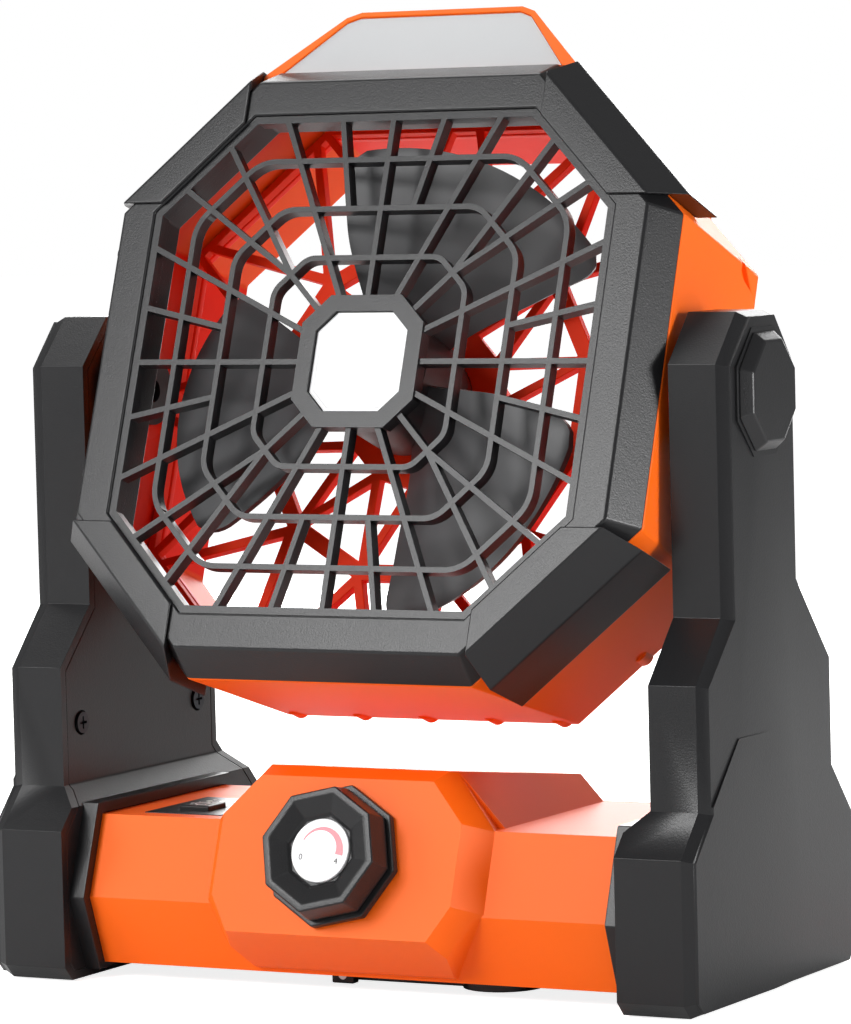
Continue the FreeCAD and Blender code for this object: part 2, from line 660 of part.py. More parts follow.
def base_solid():
    grow = BLOCK_HALF - FACE_HALF
    wide = face_octagon(grow, FACE_RISE, BLOCK_TOP_HALF, BLOCK_BOTTOM_HALF)
    front = between(face_octagon(0, 0, FACE_TOP_HALF, FACE_BOTTOM_HALF), 0, wide, FACE_BEVEL_DEPTH)
    neck = prism(wide, "y", FACE_BEVEL_DEPTH, FACE_REACH)
    front = on_face(joined([front, neck]))
    front = front.common(box(-FAR, FAR, -FAR, -20, 0, BLOCK_TOP_Z)).common(chin_space(0))
    block = prism(block_outline(), "y", BLOCK_FRONT_Y, BLOCK_REAR_Y)
    box_ends = LEG_FOOT_INNER_X - SEAT_GAP
    shoulders = prism(hex_profile(0), "x", -box_ends, box_ends)
    return joined([shoulders, joined([block, front]).common(block_space(0))])


def base_cavity():
    inner_hex = prism(inset(hex_profile(0), WALL), "x", -LEG_FOOT_INNER_X + 3, LEG_FOOT_INNER_X - 3)
    floor = prism([(-BASE_BOTTOM_Y + WALL, BASE_BOTTOM_Z - 1), (BASE_BOTTOM_Y - WALL, BASE_BOTTOM_Z - 1),
                   (BASE_BOTTOM_Y - WALL, BASE_BOTTOM_Z + WALL + 0.1),
                   (-BASE_BOTTOM_Y + WALL, BASE_BOTTOM_Z + WALL + 0.1)],
                  "x", -LEG_FOOT_INNER_X + 3, LEG_FOOT_INNER_X - 3)
    inner_block = prism(inset(block_outline(), WALL), "y", BLOCK_FRONT_Y - 1, BLOCK_REAR_Y)
    inner_block = inner_block.common(block_space(WALL))
    room = [(FACE_HALF - 2, 14.0), (FACE_HALF - 2, -12.0), (-FACE_HALF + 2, -12.0), (-FACE_HALF + 2, 14.0)]
    front_room = on_face(prism(room, "y", WALL + 1.0, 30)).common(box(-FAR, FAR, -FAR, -20, 0, BLOCK_TOP_Z - 8))
    return joined([inner_hex, floor, inner_block, front_room])


def base_housing():
    shell = base_solid().cut(base_cavity())
    cuts = [on_face(rod(SWITCH_COLLAR_R + SEAT_GAP, (0, -1, 0), (0, 8, 0)))]
    cuts.append(box(PANEL_X0 - SEAT_GAP, PANEL_X1 + SEAT_GAP, PANEL_Y0 - SEAT_GAP, PANEL_Y1 + SEAT_GAP,
                    BASE_SHOULDER_Z - PANEL_T, FAR))
    cuts.append(box(PANEL_X0 + PANEL_LEDGE, PANEL_X1 - PANEL_LEDGE, PANEL_Y0 + PANEL_LEDGE, PANEL_Y1 - PANEL_LEDGE,
                    BASE_SHOULDER_Z - PANEL_ROOM_DEPTH, FAR))
    cuts.append(box(PORT_X - PORT_WIDTH / 2 - SEAT_GAP, PORT_X + PORT_WIDTH / 2 + SEAT_GAP, 20, FAR,
                    BASE_FOLD_Z - PORT_HEIGHT / 2 - SEAT_GAP, BASE_FOLD_Z + PORT_HEIGHT / 2 + SEAT_GAP))
    end = LEG_FOOT_INNER_X
    for side in (-1, 1):
        for y, z in BASE_SCREWS:
            cuts.append(rod(SCREW_R, (side * (end - 20), y, z), (side * (end + 1), y, z)))
    posts = [rod(SCREW_R + POST_WALL, (x, y, BASE_BOTTOM_Z + COVER_T + SEAT_GAP), (x, y, COVER_POST_TOP_Z))
             for x, y in COVER_SCREWS]
    links = []
    for x, y in COVER_SCREWS:
        wall_y = math.copysign(BASE_BOTTOM_Y + 1.5, y)
        links.append(box(x - 1, x + 1, min(y, wall_y), max(y, wall_y), BASE_BOTTOM_Z + 5, COVER_POST_TOP_Z))
    ends = [rod(SCREW_R + POST_WALL, (side * (end - 10), y, z), (side * (end - 2), y, z))
            for side in (-1, 1) for y, z in BASE_SCREWS]
    shell = joined([shell] + posts + links + ends + panel_board_posts())
    for x, y in COVER_SCREWS:
        cuts.append(rod(SCREW_R, (x, y, 0), (x, y, COVER_POST_TOP_Z - POST_WALL)))
    for one in cuts:
        shell = shell.cut(one)
    return shell


def hook_pocket(grow):
    """Room in the bottom cover for the folded hook."""
    x0 = HOOK_HINGE_X - 6 - grow
    x1 = HOOK_RING_X + HOOK_RING_R + HOOK_CLEAR + grow
    half = HOOK_RING_R + HOOK_CLEAR + grow
    return x0, x1, HOOK_Y - half, HOOK_Y + half


def base_bottom_cover():
    half_x = LEG_FOOT_INNER_X - 3 - SEAT_GAP
    half_y = BASE_BOTTOM_Y - WALL - SEAT_GAP
    top = BASE_BOTTOM_Z + COVER_T
    plate = box(-half_x, half_x, -half_y, half_y, BASE_BOTTOM_Z, top)
    x0, x1, y0, y1 = hook_pocket(WALL / 2)
    tub = box(x0, x1, y0, y1, BASE_BOTTOM_Z, HOOK_POCKET_TOP + WALL / 2)
    cover = joined([plate, tub])
    x0, x1, y0, y1 = hook_pocket(0)
    cover = cover.cut(box(x0, x1, y0, y1, 0, HOOK_POCKET_TOP))
    lugs = []
    for side in (-1, 1):
        inner = HOOK_STEM_HALF + 0.3
        lug = box(HOOK_HINGE_X - 3.2, HOOK_HINGE_X + 3.2, HOOK_Y + min(side * inner, side * (inner + 3)),
                  HOOK_Y + max(side * inner, side * (inner + 3)), hook_axis_z() - 2.2, HOOK_POCKET_TOP + 0.5)
        lugs.append(lug)
    cover = joined([cover] + lugs)
    cover = cover.cut(rod(HOOK_PIN_R, (HOOK_HINGE_X, HOOK_Y - 8.6, hook_axis_z()),
                          (HOOK_HINGE_X, HOOK_Y + 8.6, hook_axis_z())))
    for x, y in COVER_SCREWS:
        cover = cover.cut(rod(SCREW_R + SCREW_GAP, (x, y, 0), (x, y, 10)))
        cover = cover.cut(rod(SCREW_HEAD_R + SOFT_GAP, (x, y, 0), (x, y, BASE_BOTTOM_Z + COVER_SCREW_SINK)))
    return cover


def hook_axis_z():
    return HOOK_Z + HOOK_T / 2


def hanging_hook():
    z0 = HOOK_Z
    stem = box(HOOK_HINGE_X, HOOK_RING_X - HOOK_BORE_R - 1, HOOK_Y - HOOK_STEM_HALF, HOOK_Y + HOOK_STEM_HALF,
               z0, z0 + HOOK_T)
    eye = rod(HOOK_T / 2 + 0.6, (HOOK_HINGE_X, HOOK_Y - HOOK_STEM_HALF, hook_axis_z()),
              (HOOK_HINGE_X, HOOK_Y + HOOK_STEM_HALF, hook_axis_z()))
    ring = tube(HOOK_RING_R, HOOK_BORE_R, (HOOK_RING_X, HOOK_Y, z0), (HOOK_RING_X, HOOK_Y, z0 + HOOK_T))
    mouth = box(HOOK_RING_X - HOOK_RING_R, HOOK_RING_X + 2, HOOK_Y + HOOK_STEM_HALF, HOOK_Y + HOOK_RING_R + 1,
                z0 - 1, z0 + HOOK_T + 1)
    hook = joined([stem, eye, ring.cut(mouth)])
    hook = hook.cut(rod(HOOK_BORE_R, (HOOK_RING_X, HOOK_Y, z0 - 1), (HOOK_RING_X, HOOK_Y, z0 + HOOK_T + 1)))
    return hook.cut(rod(HOOK_PIN_R + RUNNING_GAP, (HOOK_HINGE_X, HOOK_Y - 9, hook_axis_z()),
                        (HOOK_HINGE_X, HOOK_Y + 9, hook_axis_z())))


def hook_pin():
    reach = HOOK_STEM_HALF + 0.3 + 3
    return rod(HOOK_PIN_R, (HOOK_HINGE_X, HOOK_Y - reach, hook_axis_z()),
               (HOOK_HINGE_X, HOOK_Y + reach, hook_axis_z()))


def bottom_cover_screws():
    head_z = BASE_BOTTOM_Z + COVER_SCREW_SINK - SCREW_HEAD_T
    return Part.makeCompound([screw((x, y, head_z), (0, 0, 1), COVER_SCREW_LENGTH) for x, y in COVER_SCREWS])


# Controls

def knob_base():
    ring = prism(even_octagon(KNOB_BASE_HALF), "y", -KNOB_BASE_T, 0)
    ring.rotate(V(0, 0, 0), V(0, 1, 0), -KNOB_TURN_SHOWN)
    return on_face(ring.cut(rod(SWITCH_SHAFT_R + POST_WALL / 2, (0, -KNOB_BASE_T - 1, 0), (0, 1, 0))))


def speed_knob():
    back = -KNOB_BASE_T - KNOB_GAP
    front = -KNOB_FRONT
    skirt_front = back - KNOB_SKIRT_T
    skirt = prism(even_octagon(KNOB_HALF + KNOB_SKIRT_OUT), "y", skirt_front, back)
    body = between(even_octagon(KNOB_HALF + KNOB_SKIRT_OUT), skirt_front, even_octagon(KNOB_HALF), front)
    dish = between(even_octagon(KNOB_HALF - KNOB_LIP / 2), front - TINY,
                   even_octagon(DIAL_R + DIAL_RIM), front + KNOB_DISH)
    knob = joined([skirt, body]).cut(dish)
    knob = knob.cut(rod(DIAL_R + SEAT_GAP, (0, front - 1, 0), (0, front + KNOB_DISH + DIAL_T, 0)))
    knob = knob.cut(rod(SWITCH_SHAFT_R, (0, back + 1, 0), (0, switch_shaft_front(), 0)))
    knob.rotate(V(0, 0, 0), V(0, 1, 0), -KNOB_TURN_SHOWN)
    return on_face(knob)


def knob_dial():
    seat = -KNOB_FRONT + KNOB_DISH + DIAL_T
    return on_face(rod(DIAL_R, (0, seat - DIAL_T, 0), (0, seat, 0)))


def switch_shaft_front():
    return -KNOB_FRONT + KNOB_DISH + DIAL_T + KNOB_FLOOR


def switch_front():
    """Depth of the switch's front face behind the sloping panel."""
    return WALL + 1.0


def switch_shaft():
    return on_face(rod(SWITCH_SHAFT_R, (0, switch_shaft_front(), 0), (0, switch_front(), 0)))


def rotary_switch():
    front = switch_front()
    half = SWITCH_BODY / 2
    shoulder = front + SWITCH_SHOULDER
    body = box(-half, half, shoulder, front + SWITCH_BODY_DEPTH, -half, half)
    collar = tube(SWITCH_COLLAR_R, SWITCH_SHAFT_R + RUNNING_GAP, (0, front - SWITCH_COLLAR_T, 0), (0, shoulder, 0))
    pin_y = front + SWITCH_BODY_DEPTH / 2
    pins = [box(k * SWITCH_PIN_PITCH - SWITCH_PIN_HALF, k * SWITCH_PIN_PITCH + SWITCH_PIN_HALF,
                pin_y - SWITCH_PIN_HALF, pin_y + SWITCH_PIN_HALF, -half - SWITCH_PIN_LENGTH, -half)
            for k in (-1, 0, 1)]
    return on_face(joined([body] + pins)).fuse(on_face(collar))


def control_panel():
    z0 = BASE_SHOULDER_Z - PANEL_T
    plate = box(PANEL_X0, PANEL_X1, PANEL_Y0, PANEL_Y1, z0, BASE_SHOULDER_Z + PANEL_PROUD)
    middle = (PANEL_X0 + PANEL_X1) / 2
    hole = BUTTON_HALF + SOFT_GAP
    plate = plate.cut(box(middle - hole, middle + hole, BUTTON_Y - hole, BUTTON_Y + hole, 0, FAR))
    for x, y in gauge_places():
        plate = plate.cut(rod(GAUGE_R, (x, y, 0), (x, y, FAR)))
    return plate


def gauge_places():
    middle = (PANEL_X0 + PANEL_X1) / 2
    return [(middle + (i - (GAUGE_COUNT - 1) / 2) * GAUGE_PITCH, GAUGE_Y) for i in range(GAUGE_COUNT)]


def charge_lights():
    z0 = BASE_SHOULDER_Z - PANEL_T - 2.0
    bar = box(gauge_places()[0][0] - GAUGE_BAR_HALF, gauge_places()[-1][0] + GAUGE_BAR_HALF,
              GAUGE_Y - GAUGE_BAR_HALF, GAUGE_Y + GAUGE_BAR_HALF, z0, BASE_SHOULDER_Z - PANEL_T - SEAT_GAP)
    pips = [rod(GAUGE_R - SEAT_GAP / 2, (x, y, z0 + BITE), (x, y, BASE_SHOULDER_Z + PANEL_PROUD + SEAT_GAP))
            for x, y in gauge_places()]
    return joined([bar] + pips)


def light_button():
    middle = (PANEL_X0 + PANEL_X1) / 2
    top = BASE_SHOULDER_Z + PANEL_PROUD + BUTTON_RISE
    under = BASE_SHOULDER_Z - PANEL_T - PANEL_TO_FLANGE
    cap = box(middle - BUTTON_HALF, middle + BUTTON_HALF, BUTTON_Y - BUTTON_HALF, BUTTON_Y + BUTTON_HALF,
              under, top)
    flange_half = BUTTON_HALF + BUTTON_FLANGE_OUT
    flange = box(middle - flange_half, middle + flange_half, BUTTON_Y - flange_half, BUTTON_Y + flange_half,
                 under - BUTTON_FLANGE_T, under)
    return joined([cap, flange])


def panel_board_top():
    return BASE_SHOULDER_Z - PANEL_T - PANEL_TO_FLANGE - BUTTON_FLANGE_T - BUTTON_TRAVEL - BUTTON_TO_BOARD


def panel_board():
    top = panel_board_top()
    return box(PANEL_X0 - 3, PANEL_X1 + 3, PANEL_Y0 + 3, PANEL_Y1 - 3, top - BOARD_T, top)


def panel_board_posts():
    """Two posts under the roof of the left shoulder that carry the button's board."""
    middle = (PANEL_Y0 + PANEL_Y1) / 2
    return [rod(1.5, (x, middle, panel_board_top()), (x, middle, BASE_SHOULDER_Z - WALL / 2))
            for x in (PANEL_X0 - 1.4, PANEL_X1 + 1.4)]


def button_switch():
    board_top = panel_board_top()
    middle = (PANEL_X0 + PANEL_X1) / 2
    body_top = board_top + BUTTON_SWITCH_T
    body = box(middle - BUTTON_SWITCH_HALF, middle + BUTTON_SWITCH_HALF, BUTTON_Y - BUTTON_SWITCH_HALF,
               BUTTON_Y + BUTTON_SWITCH_HALF, board_top, body_top)
    return joined([body, rod(BUTTON_PIN_R, (middle, BUTTON_Y, body_top), (middle, BUTTON_Y, body_top + BUTTON_PIN_T))])


# Power

def battery_cell(index):
    y = CELL_Y + (index - 0.5) * CELL_PITCH
    body = rod(CELL_R, (-CELL_LENGTH / 2, y, CELL_Z), (CELL_LENGTH / 2 - 1.5, y, CELL_Z))
    cap = rod(3.0, (CELL_LENGTH / 2 - 1.5, y, CELL_Z), (CELL_LENGTH / 2, y, CELL_Z))
    return joined([body, cap])


def battery_holder():
    x = CELL_LENGTH / 2
    y0 = CELL_Y - CELL_PITCH / 2 - CELL_R - 1.5
    y1 = CELL_Y + CELL_PITCH / 2 + CELL_R + 0.6
    z0 = BASE_BOTTOM_Z + COVER_T + 0.1
    tray = box(-x - TRAY_END, x + TRAY_END, y0, y1, z0, CELL_Z - 1)
    posts = [box(side * x + min(side * 0.3, side * TRAY_END), side * x + max(side * 0.3, side * TRAY_END),
                 CELL_Y - 6, CELL_Y + 6, z0, control_board_z()) for side in (-1, 1)]
    tray = joined([tray] + posts)
    for index in (0, 1):
        y = CELL_Y + (index - 0.5) * CELL_PITCH
        tray = tray.cut(rod(CELL_R + SEAT_GAP, (-x - SEAT_GAP, y, CELL_Z), (x + SEAT_GAP, y, CELL_Z)))
    return tray.common(prism(inset(hex_profile(0), WALL + SEAT_GAP), "x", -FAR, FAR)).cut(
        box(*hook_pocket(WALL / 2 + SEAT_GAP), 0, HOOK_POCKET_TOP + WALL / 2 + SEAT_GAP))


def control_board_z():
    return CELL_Z + CELL_R + 3.0


def control_board():
    half = CELL_LENGTH / 2 + TRAY_END
    return box(-half, half, CELL_Y - 24, CELL_Y + 9, control_board_z(), control_board_z() + BOARD_T)


def charging_port():
    half_w = PORT_WIDTH / 2
    half_h = PORT_HEIGHT / 2
    rear = BASE_FOLD_Y - 0.4
    shell = box(PORT_X - half_w, PORT_X + half_w, rear - PORT_DEPTH, rear, BASE_FOLD_Z - half_h,
                BASE_FOLD_Z + half_h)
    shell = shell.cut(box(PORT_X - half_w + 0.4, PORT_X + half_w - 0.4, rear - 6, rear + 1,
                          BASE_FOLD_Z - half_h + 0.4, BASE_FOLD_Z + half_h - 0.4))
    tongue = box(PORT_X - half_w + 1.4, PORT_X + half_w - 1.4, rear - 6.2, rear - 1.4, BASE_FOLD_Z - 0.35,
                 BASE_FOLD_Z + 0.35)
    return joined([shell, tongue])


def port_board():
    top = BASE_FOLD_Z - PORT_HEIGHT / 2
    return box(PORT_X - 8, PORT_X + 8, 14, BASE_FOLD_Y - 4.5, top - BOARD_T, top)


# Tilt hinge

def washer_x():
    return LEG_INNER_X - 0.1 - WASHER_T


def flange_x():
    """Inner end of the shaft's flange, which lies just inside the head's side wall."""
    share = (SHAFT_FLANGE_R - HEAD_SEAM_Y) / (HEAD_REAR_Y - HEAD_SEAM_Y)
    wall = SEAM_HALF + (REAR_HALF - SEAM_HALF) * share
    return wall - WALL - SHAFT_FLANGE_GAP - SHAFT_FLANGE_T


def nut_x():
    return LEG_HOLLOW_X + NUT_SEAT_T + NUT_GAP


def right_pivot_shaft():
    start = flange_x()
    shaft = rod(SHAFT_R, (start, 0, 0), (nut_x() + NUT_T + BITE, 0, 0))
    flange = rod(SHAFT_FLANGE_R, (start, 0, 0), (start + SHAFT_FLANGE_T, 0, 0))
    bore = rod(SHAFT_BORE_R, (start - 1, 0, 0), (nut_x() + NUT_T + 1, 0, 0))
    return joined([shaft, flange]).cut(bore)


def right_pivot_bush():
    return tube(SHAFT_R + BUSH_WALL - 0.02, SHAFT_R + RUNNING_GAP, (LEG_INNER_X, 0, PIVOT_Z),
                (LEG_HOLLOW_X - SEAT_GAP, 0, PIVOT_Z))


def right_friction_washer():
    x = washer_x()
    return tube(WASHER_R, SHAFT_R + RUNNING_GAP, (x, 0, 0), (x + WASHER_T, 0, 0))


def right_pivot_nut():
    x = nut_x()
    outline = [(NUT_R * math.cos(math.radians(60 * k)), NUT_R * math.sin(math.radians(60 * k))) for k in range(6)]
    return prism(outline, "x", x, x + NUT_T).cut(rod(SHAFT_R, (x - 1, 0, 0), (x + NUT_T + 1, 0, 0)))


def right_pivot_cap():
    seat = PLINTH_END_X
    body = between([(a, b + PIVOT_Z) for a, b in even_octagon(CAP_RIM_HALF)], seat,
                   [(a, b + PIVOT_Z) for a, b in even_octagon(CAP_HALF)], CAP_TOP_X, "x")
    return body.cut(pivot_rod(NUT_R + BITE, seat - 1, seat + CAP_SOCKET_DEPTH))


# Head shells

def head_outer(grow):
    """The whole outside of the head from its front face to its rear edge, grown by `grow`."""
    front = between(octagon(BEZEL_FRONT_HALF + grow, SIDE_HALF + grow * 0.4), HEAD_FRONT_Y,
                    octagon(SEAM_HALF + grow, SIDE_HALF + grow * 0.4), HEAD_SEAM_Y)
    rear = between(octagon(SEAM_HALF + grow, SIDE_HALF + grow * 0.4), HEAD_SEAM_Y,
                   octagon(REAR_HALF + grow, REAR_SIDE_HALF + grow * 0.4), HEAD_REAR_Y)
    return joined([front, rear])


def wall_outline(y, gap):
    """Outline of the rear housing's room at depth `y`, smaller by `gap`."""
    share = (y - HEAD_SEAM_Y) / (HEAD_REAR_Y - HEAD_SEAM_Y)
    half = SEAM_HALF - WALL + (REAR_HALF - SEAM_HALF) * share
    side_half = SIDE_HALF - 1 + (REAR_SIDE_HALF - SIDE_HALF) * share
    return inset(octagon(half, side_half), gap)


def edge_bumps():
    """Low round bumps along the rear edge, at the top and bottom and in the middle of each cut corner."""
    start = HEAD_REAR_Y - BUMP_LENGTH
    edge = REAR_HALF + BUMP_PROUD - BUMP_R
    diagonal = (REAR_HALF + REAR_SIDE_HALF) / 2 + (BUMP_PROUD - BUMP_R) * math.cos(math.pi / 4)
    places = [(k * BUMP_PITCH, side * edge) for side in (-1, 1) for k in range(-2, 3)]
    places += [turned((diagonal, diagonal), quarter) for quarter in range(4)]
    return [rod(BUMP_R, (x, start, z), (x, HEAD_REAR_Y, z)) for x, z in places]


def front_bezel():
    body = between(octagon(BEZEL_FRONT_HALF, SIDE_HALF), HEAD_FRONT_Y, octagon(SEAM_HALF, SIDE_HALF), HEAD_SEAM_Y)
    room = between(octagon(BEZEL_FRONT_HALF - WALL, SIDE_HALF - 1), HEAD_FRONT_Y + WALL,
                   octagon(SEAM_HALF - WALL, SIDE_HALF - 1), HEAD_SEAM_Y + 0.01)
    tube_outer = prism(inset(octagon(APERTURE_HALF, SIDE_HALF), -BEZEL_TUBE_WALL), "y", HEAD_FRONT_Y + 1,
                       BEZEL_TUBE_END_Y)
    hole = prism(octagon(APERTURE_HALF, SIDE_HALF), "y", HEAD_FRONT_Y - 1, BEZEL_TUBE_END_Y + 1)
    posts = [rod(SCREW_R + POST_WALL, (x, HEAD_FRONT_Y + 1, z), (x, LUG_FRONT_Y - SCREW_GAP, z))
             for x, z in HOUSING_SCREWS]
    bezel = joined([body.cut(room), tube_outer] + posts).cut(hole)
    for x, z in HOUSING_SCREWS:
        bezel = bezel.cut(rod(SCREW_R, (x, HEAD_FRONT_Y + POST_WALL, z), (x, 0, z)))
    return bezel


def rear_housing():
    outer = between(octagon(SEAM_HALF, SIDE_HALF), HEAD_SEAM_Y, octagon(REAR_HALF, REAR_SIDE_HALF), HEAD_REAR_Y)
    inner = between(octagon(SEAM_HALF - WALL, SIDE_HALF - 1), HEAD_SEAM_Y,
                    octagon(REAR_HALF - WALL, REAR_SIDE_HALF - 1), HEAD_REAR_Y)
    ledge_start = REAR_GRILLE_BACK_Y + SEAT_GAP
    ledge_end = ledge_start + REAR_LEDGE_T
    ledge = outer.common(box(-FAR, FAR, ledge_start, ledge_end, -FAR, FAR))
    ledge = ledge.cut(prism(wall_outline(ledge_end, REAR_LEDGE_W), "y", ledge_start - 1, ledge_end + 1))
    lugs = []
    for x, z in HOUSING_SCREWS:
        ends = sorted((x - math.copysign(LUG_HALF, x), math.copysign(SEAM_HALF - 1, x)))
        lugs.append(box(ends[0], ends[1], LUG_FRONT_Y, LUG_FRONT_Y + LUG_T, z - LUG_HALF, z + LUG_HALF))
    boss_end = washer_x() - SEAT_GAP
    boss_start = flange_x() + SHAFT_FLANGE_T + SEAT_GAP
    bosses = [rod(HEAD_BOSS_R, (side * boss_start, 0, 0), (side * boss_end, 0, 0)) for side in (-1, 1)]
    outer_limits = head_outer(0)
    lugs = [lug.common(outer_limits) for lug in lugs]
    shell = joined([outer] + edge_bumps()).cut(inner)
    housing = joined([shell, ledge] + lugs + bosses)
    housing = housing.cut(rod(SHAFT_R + SEAT_GAP, (-FAR, 0, 0), (FAR, 0, 0)))
    for x, z in HOUSING_SCREWS:
        housing = housing.cut(rod(SCREW_R + SCREW_GAP, (x, HEAD_SEAM_Y, z), (x, 0, z)))
    recess = prism([(RECESS_FRONT_Y, RECESS_Z1), (RECESS_FRONT_Y, RECESS_Z0 + RECESS_SLANT),
                    (RECESS_REAR_Y, RECESS_Z0)], "x", REAR_HALF - RECESS_DEPTH, FAR)
    housing = housing.cut(recess).cut(mirrored(recess))
    return housing


def corner_guard(sx, sz):
    """Raised guard over one cut corner, thickest at the seam, from the front face back to GUARD_END_Y."""
    front_y = HEAD_FRONT_Y - GUARD_FRONT_T
    front = octagon(BEZEL_FRONT_HALF + GUARD_FRONT_OUT, SIDE_HALF + GUARD_FRONT_SIDE_OUT)
    seam = octagon(SEAM_HALF + GUARD_SEAM_OUT, SIDE_HALF + GUARD_SEAM_SIDE_OUT)
    rear = octagon(SEAM_HALF + GUARD_SEAM_OUT - GUARD_END_IN, SIDE_HALF + GUARD_END_SIDE_OUT)
    outer = joined([between(front, front_y, seam, HEAD_SEAM_Y), between(seam, HEAD_SEAM_Y, rear, GUARD_END_Y)])
    squares = []
    end = SEAM_HALF + GUARD_SEAM_OUT + 1
    for out in (GUARD_START_OUT, GUARD_SEAM_START_OUT):
        start = SIDE_HALF + out
        squares.append([(sx * start, sz * start), (sx * end, sz * start), (sx * end, sz * end), (sx * start, sz * end)])
    region = joined([between(squares[0], front_y, squares[1], HEAD_SEAM_Y),
                     prism(squares[1], "y", HEAD_SEAM_Y, GUARD_END_Y)])
    guard = outer.common(region).cut(head_outer(0))
    return guard.cut(prism(octagon(APERTURE_HALF, SIDE_HALF), "y", -FAR, 0))


def ring_prism(half, grow, y0, y1):
    """Eight-sided prism with rounded corners, whose outline is grown by `grow`."""
    solid = prism(inset(octagon(half, half * (1 - RING_CUT_SHARE)), -grow), "y", y0, y1)
    corners = [edge for edge in solid.Edges if abs(edge.tangentAt(edge.FirstParameter).y) > 0.9]
    return solid.makeFillet(half * RING_ROUND_SHARE + grow, corners)


def bar_between(a, b, width, y0, y1):
    """Flat bar between two (x, z) points."""
    u = unit(a, b)
    n = (-u[1] * width / 2, u[0] * width / 2)
    outline = [(a[0] + n[0], a[1] + n[1]), (b[0] + n[0], b[1] + n[1]), (b[0] - n[0], b[1] - n[1]),
               (a[0] - n[0], a[1] - n[1])]
    return prism(outline, "y", y0, y1)


def turned(point, quarter):
    """Turns an (x, z) point by quarter turns."""
    x, z = point
    for _ in range(quarter):
        x, z = -z, x
    return (x, z)


def grille_ribs():
    """One side's ribs and one corner's, as pairs of (x, z) ends for the top side."""
    reach = APERTURE_HALF - GRILLE_RIM / 2
    hub = HUB_HALF - 1
    ring_1, ring_2 = RING_HALVES[0], RING_HALVES[1]
    ribs = []
    for end in SIDE_RIB_ENDS:
        if abs(abs(end) - SIDE_RIB_ENDS[3]) < 0.1:
            ribs.append(((end * ring_2 / reach, ring_2), (end, reach)))
        else:
            ribs.append(((end * hub / reach, hub), (end, reach)))
    corner = (APERTURE_HALF + SIDE_HALF) / 2 - GRILLE_RIM * 0.35
    meet = ring_1 * (1 - RING_CUT_SHARE / 2)
    inner = HUB_HALF * (1 + HUB_SIDE_SHARE) / 2 - BITE
    shift = CORNER_RIB_SHIFT * 0.7071
    ribs.append(((inner, inner), (meet, meet)))
    for side in (-1, 1):
        ribs.append(((meet, meet), (corner + side * shift, corner - side * shift)))
    return ribs


def hub_plate_outline():
    return octagon(HUB_PLATE_HALF, HUB_PLATE_HALF * HUB_PLATE_SIDE_SHARE)


def front_grille():
    y0 = HEAD_FRONT_Y + GRILLE_SETBACK
    y1 = y0 + GRILLE_T
    outline = octagon(APERTURE_HALF - SEAT_GAP, SIDE_HALF)
    rim = prism(outline, "y", y0, y1).cut(prism(inset(outline, GRILLE_RIM), "y", y0 - 1, y1 + 1))
    pieces = [rim]
    for half in RING_HALVES:
        pieces.append(ring_prism(half, RIB_W / 2, y0, y1).cut(ring_prism(half, -RIB_W / 2, y0 - 1, y1 + 1)))
    for start, end in grille_ribs():
        for quarter in range(4):
            pieces.append(bar_between(turned(start, quarter), turned(end, quarter), RIB_W, y0, y1))
    hub_y = y0 - HUB_PROUD
    pieces.append(prism(octagon(HUB_HALF, HUB_HALF * HUB_SIDE_SHARE), "y", hub_y, y1))
    grille = joined(pieces)
    pocket = prism(inset(hub_plate_outline(), -SEAT_GAP), "y", hub_y - 1, hub_y + HUB_PLATE_T + HUB_PLATE_SINK)
    return grille.cut(pocket)


def grille_badge():
    y1 = HEAD_FRONT_Y + GRILLE_SETBACK - HUB_PROUD + HUB_PLATE_T + HUB_PLATE_SINK
    return prism(hub_plate_outline(), "y", y1 - HUB_PLATE_T, y1)


def on_circle(radius, angle):
    return (radius * math.cos(angle), radius * math.sin(angle))


def triangle_holes():
    """Openings of the rear grille: two rings of triangles that point in and out in turn."""
    holes = []
    step = 2 * math.pi / REAR_SECTORS
    zones = ((REAR_DISC_R, REAR_RING_R - REAR_BAR / 2, 0.0), (REAR_RING_R + REAR_BAR / 2, REAR_HALF + 14, 0.5))
    for inner, outer, offset in zones:
        for k in range(REAR_SECTORS):
            a0 = (k + offset) * step
            a1 = a0 + step
            middle = (a0 + a1) / 2
            holes.append([on_circle(inner, a0), on_circle(inner, a1),
                          on_circle(outer / math.cos(step / 2) * REAR_POINT_SHARE, middle)])
            holes.append([on_circle(outer, middle), on_circle(inner * REAR_FOOT_SHARE, a1),
                          on_circle(outer, middle + step)])
    return [inset(hole, REAR_BAR / 2) for hole in holes]


def rear_grille():
    """Lattice across the housing behind the rotor, with a cup behind it that holds the motor."""
    y0 = REAR_GRILLE_Y
    y1 = REAR_GRILLE_BACK_Y
    outline = wall_outline(y1, SEAT_GAP)
    plate = prism(outline, "y", y0, y1)
    field = prism(inset(outline, REAR_FIELD_IN), "y", y0 - 1, y1 + 1)
    for hole in triangle_holes():
        plate = plate.cut(prism(hole, "y", y0 - 1, y1 + 1).common(field))
    cup = rod(MOTOR_R + MOTOR_CUP_WALL, (0, y0, 0), (0, MOTOR_CUP_END_Y, 0))
    room = rod(MOTOR_R + SEAT_GAP, (0, y0 - 1, 0), (0, MOTOR_REAR_Y + SEAT_GAP, 0))
    holes = [rod(SCREW_R + SCREW_GAP, (x, MOTOR_REAR_Y, z), (x, MOTOR_CUP_END_Y + 1, z)) for x, z in MOTOR_SCREWS]
    return joined([plate, cup]).cut(joined([room] + holes))


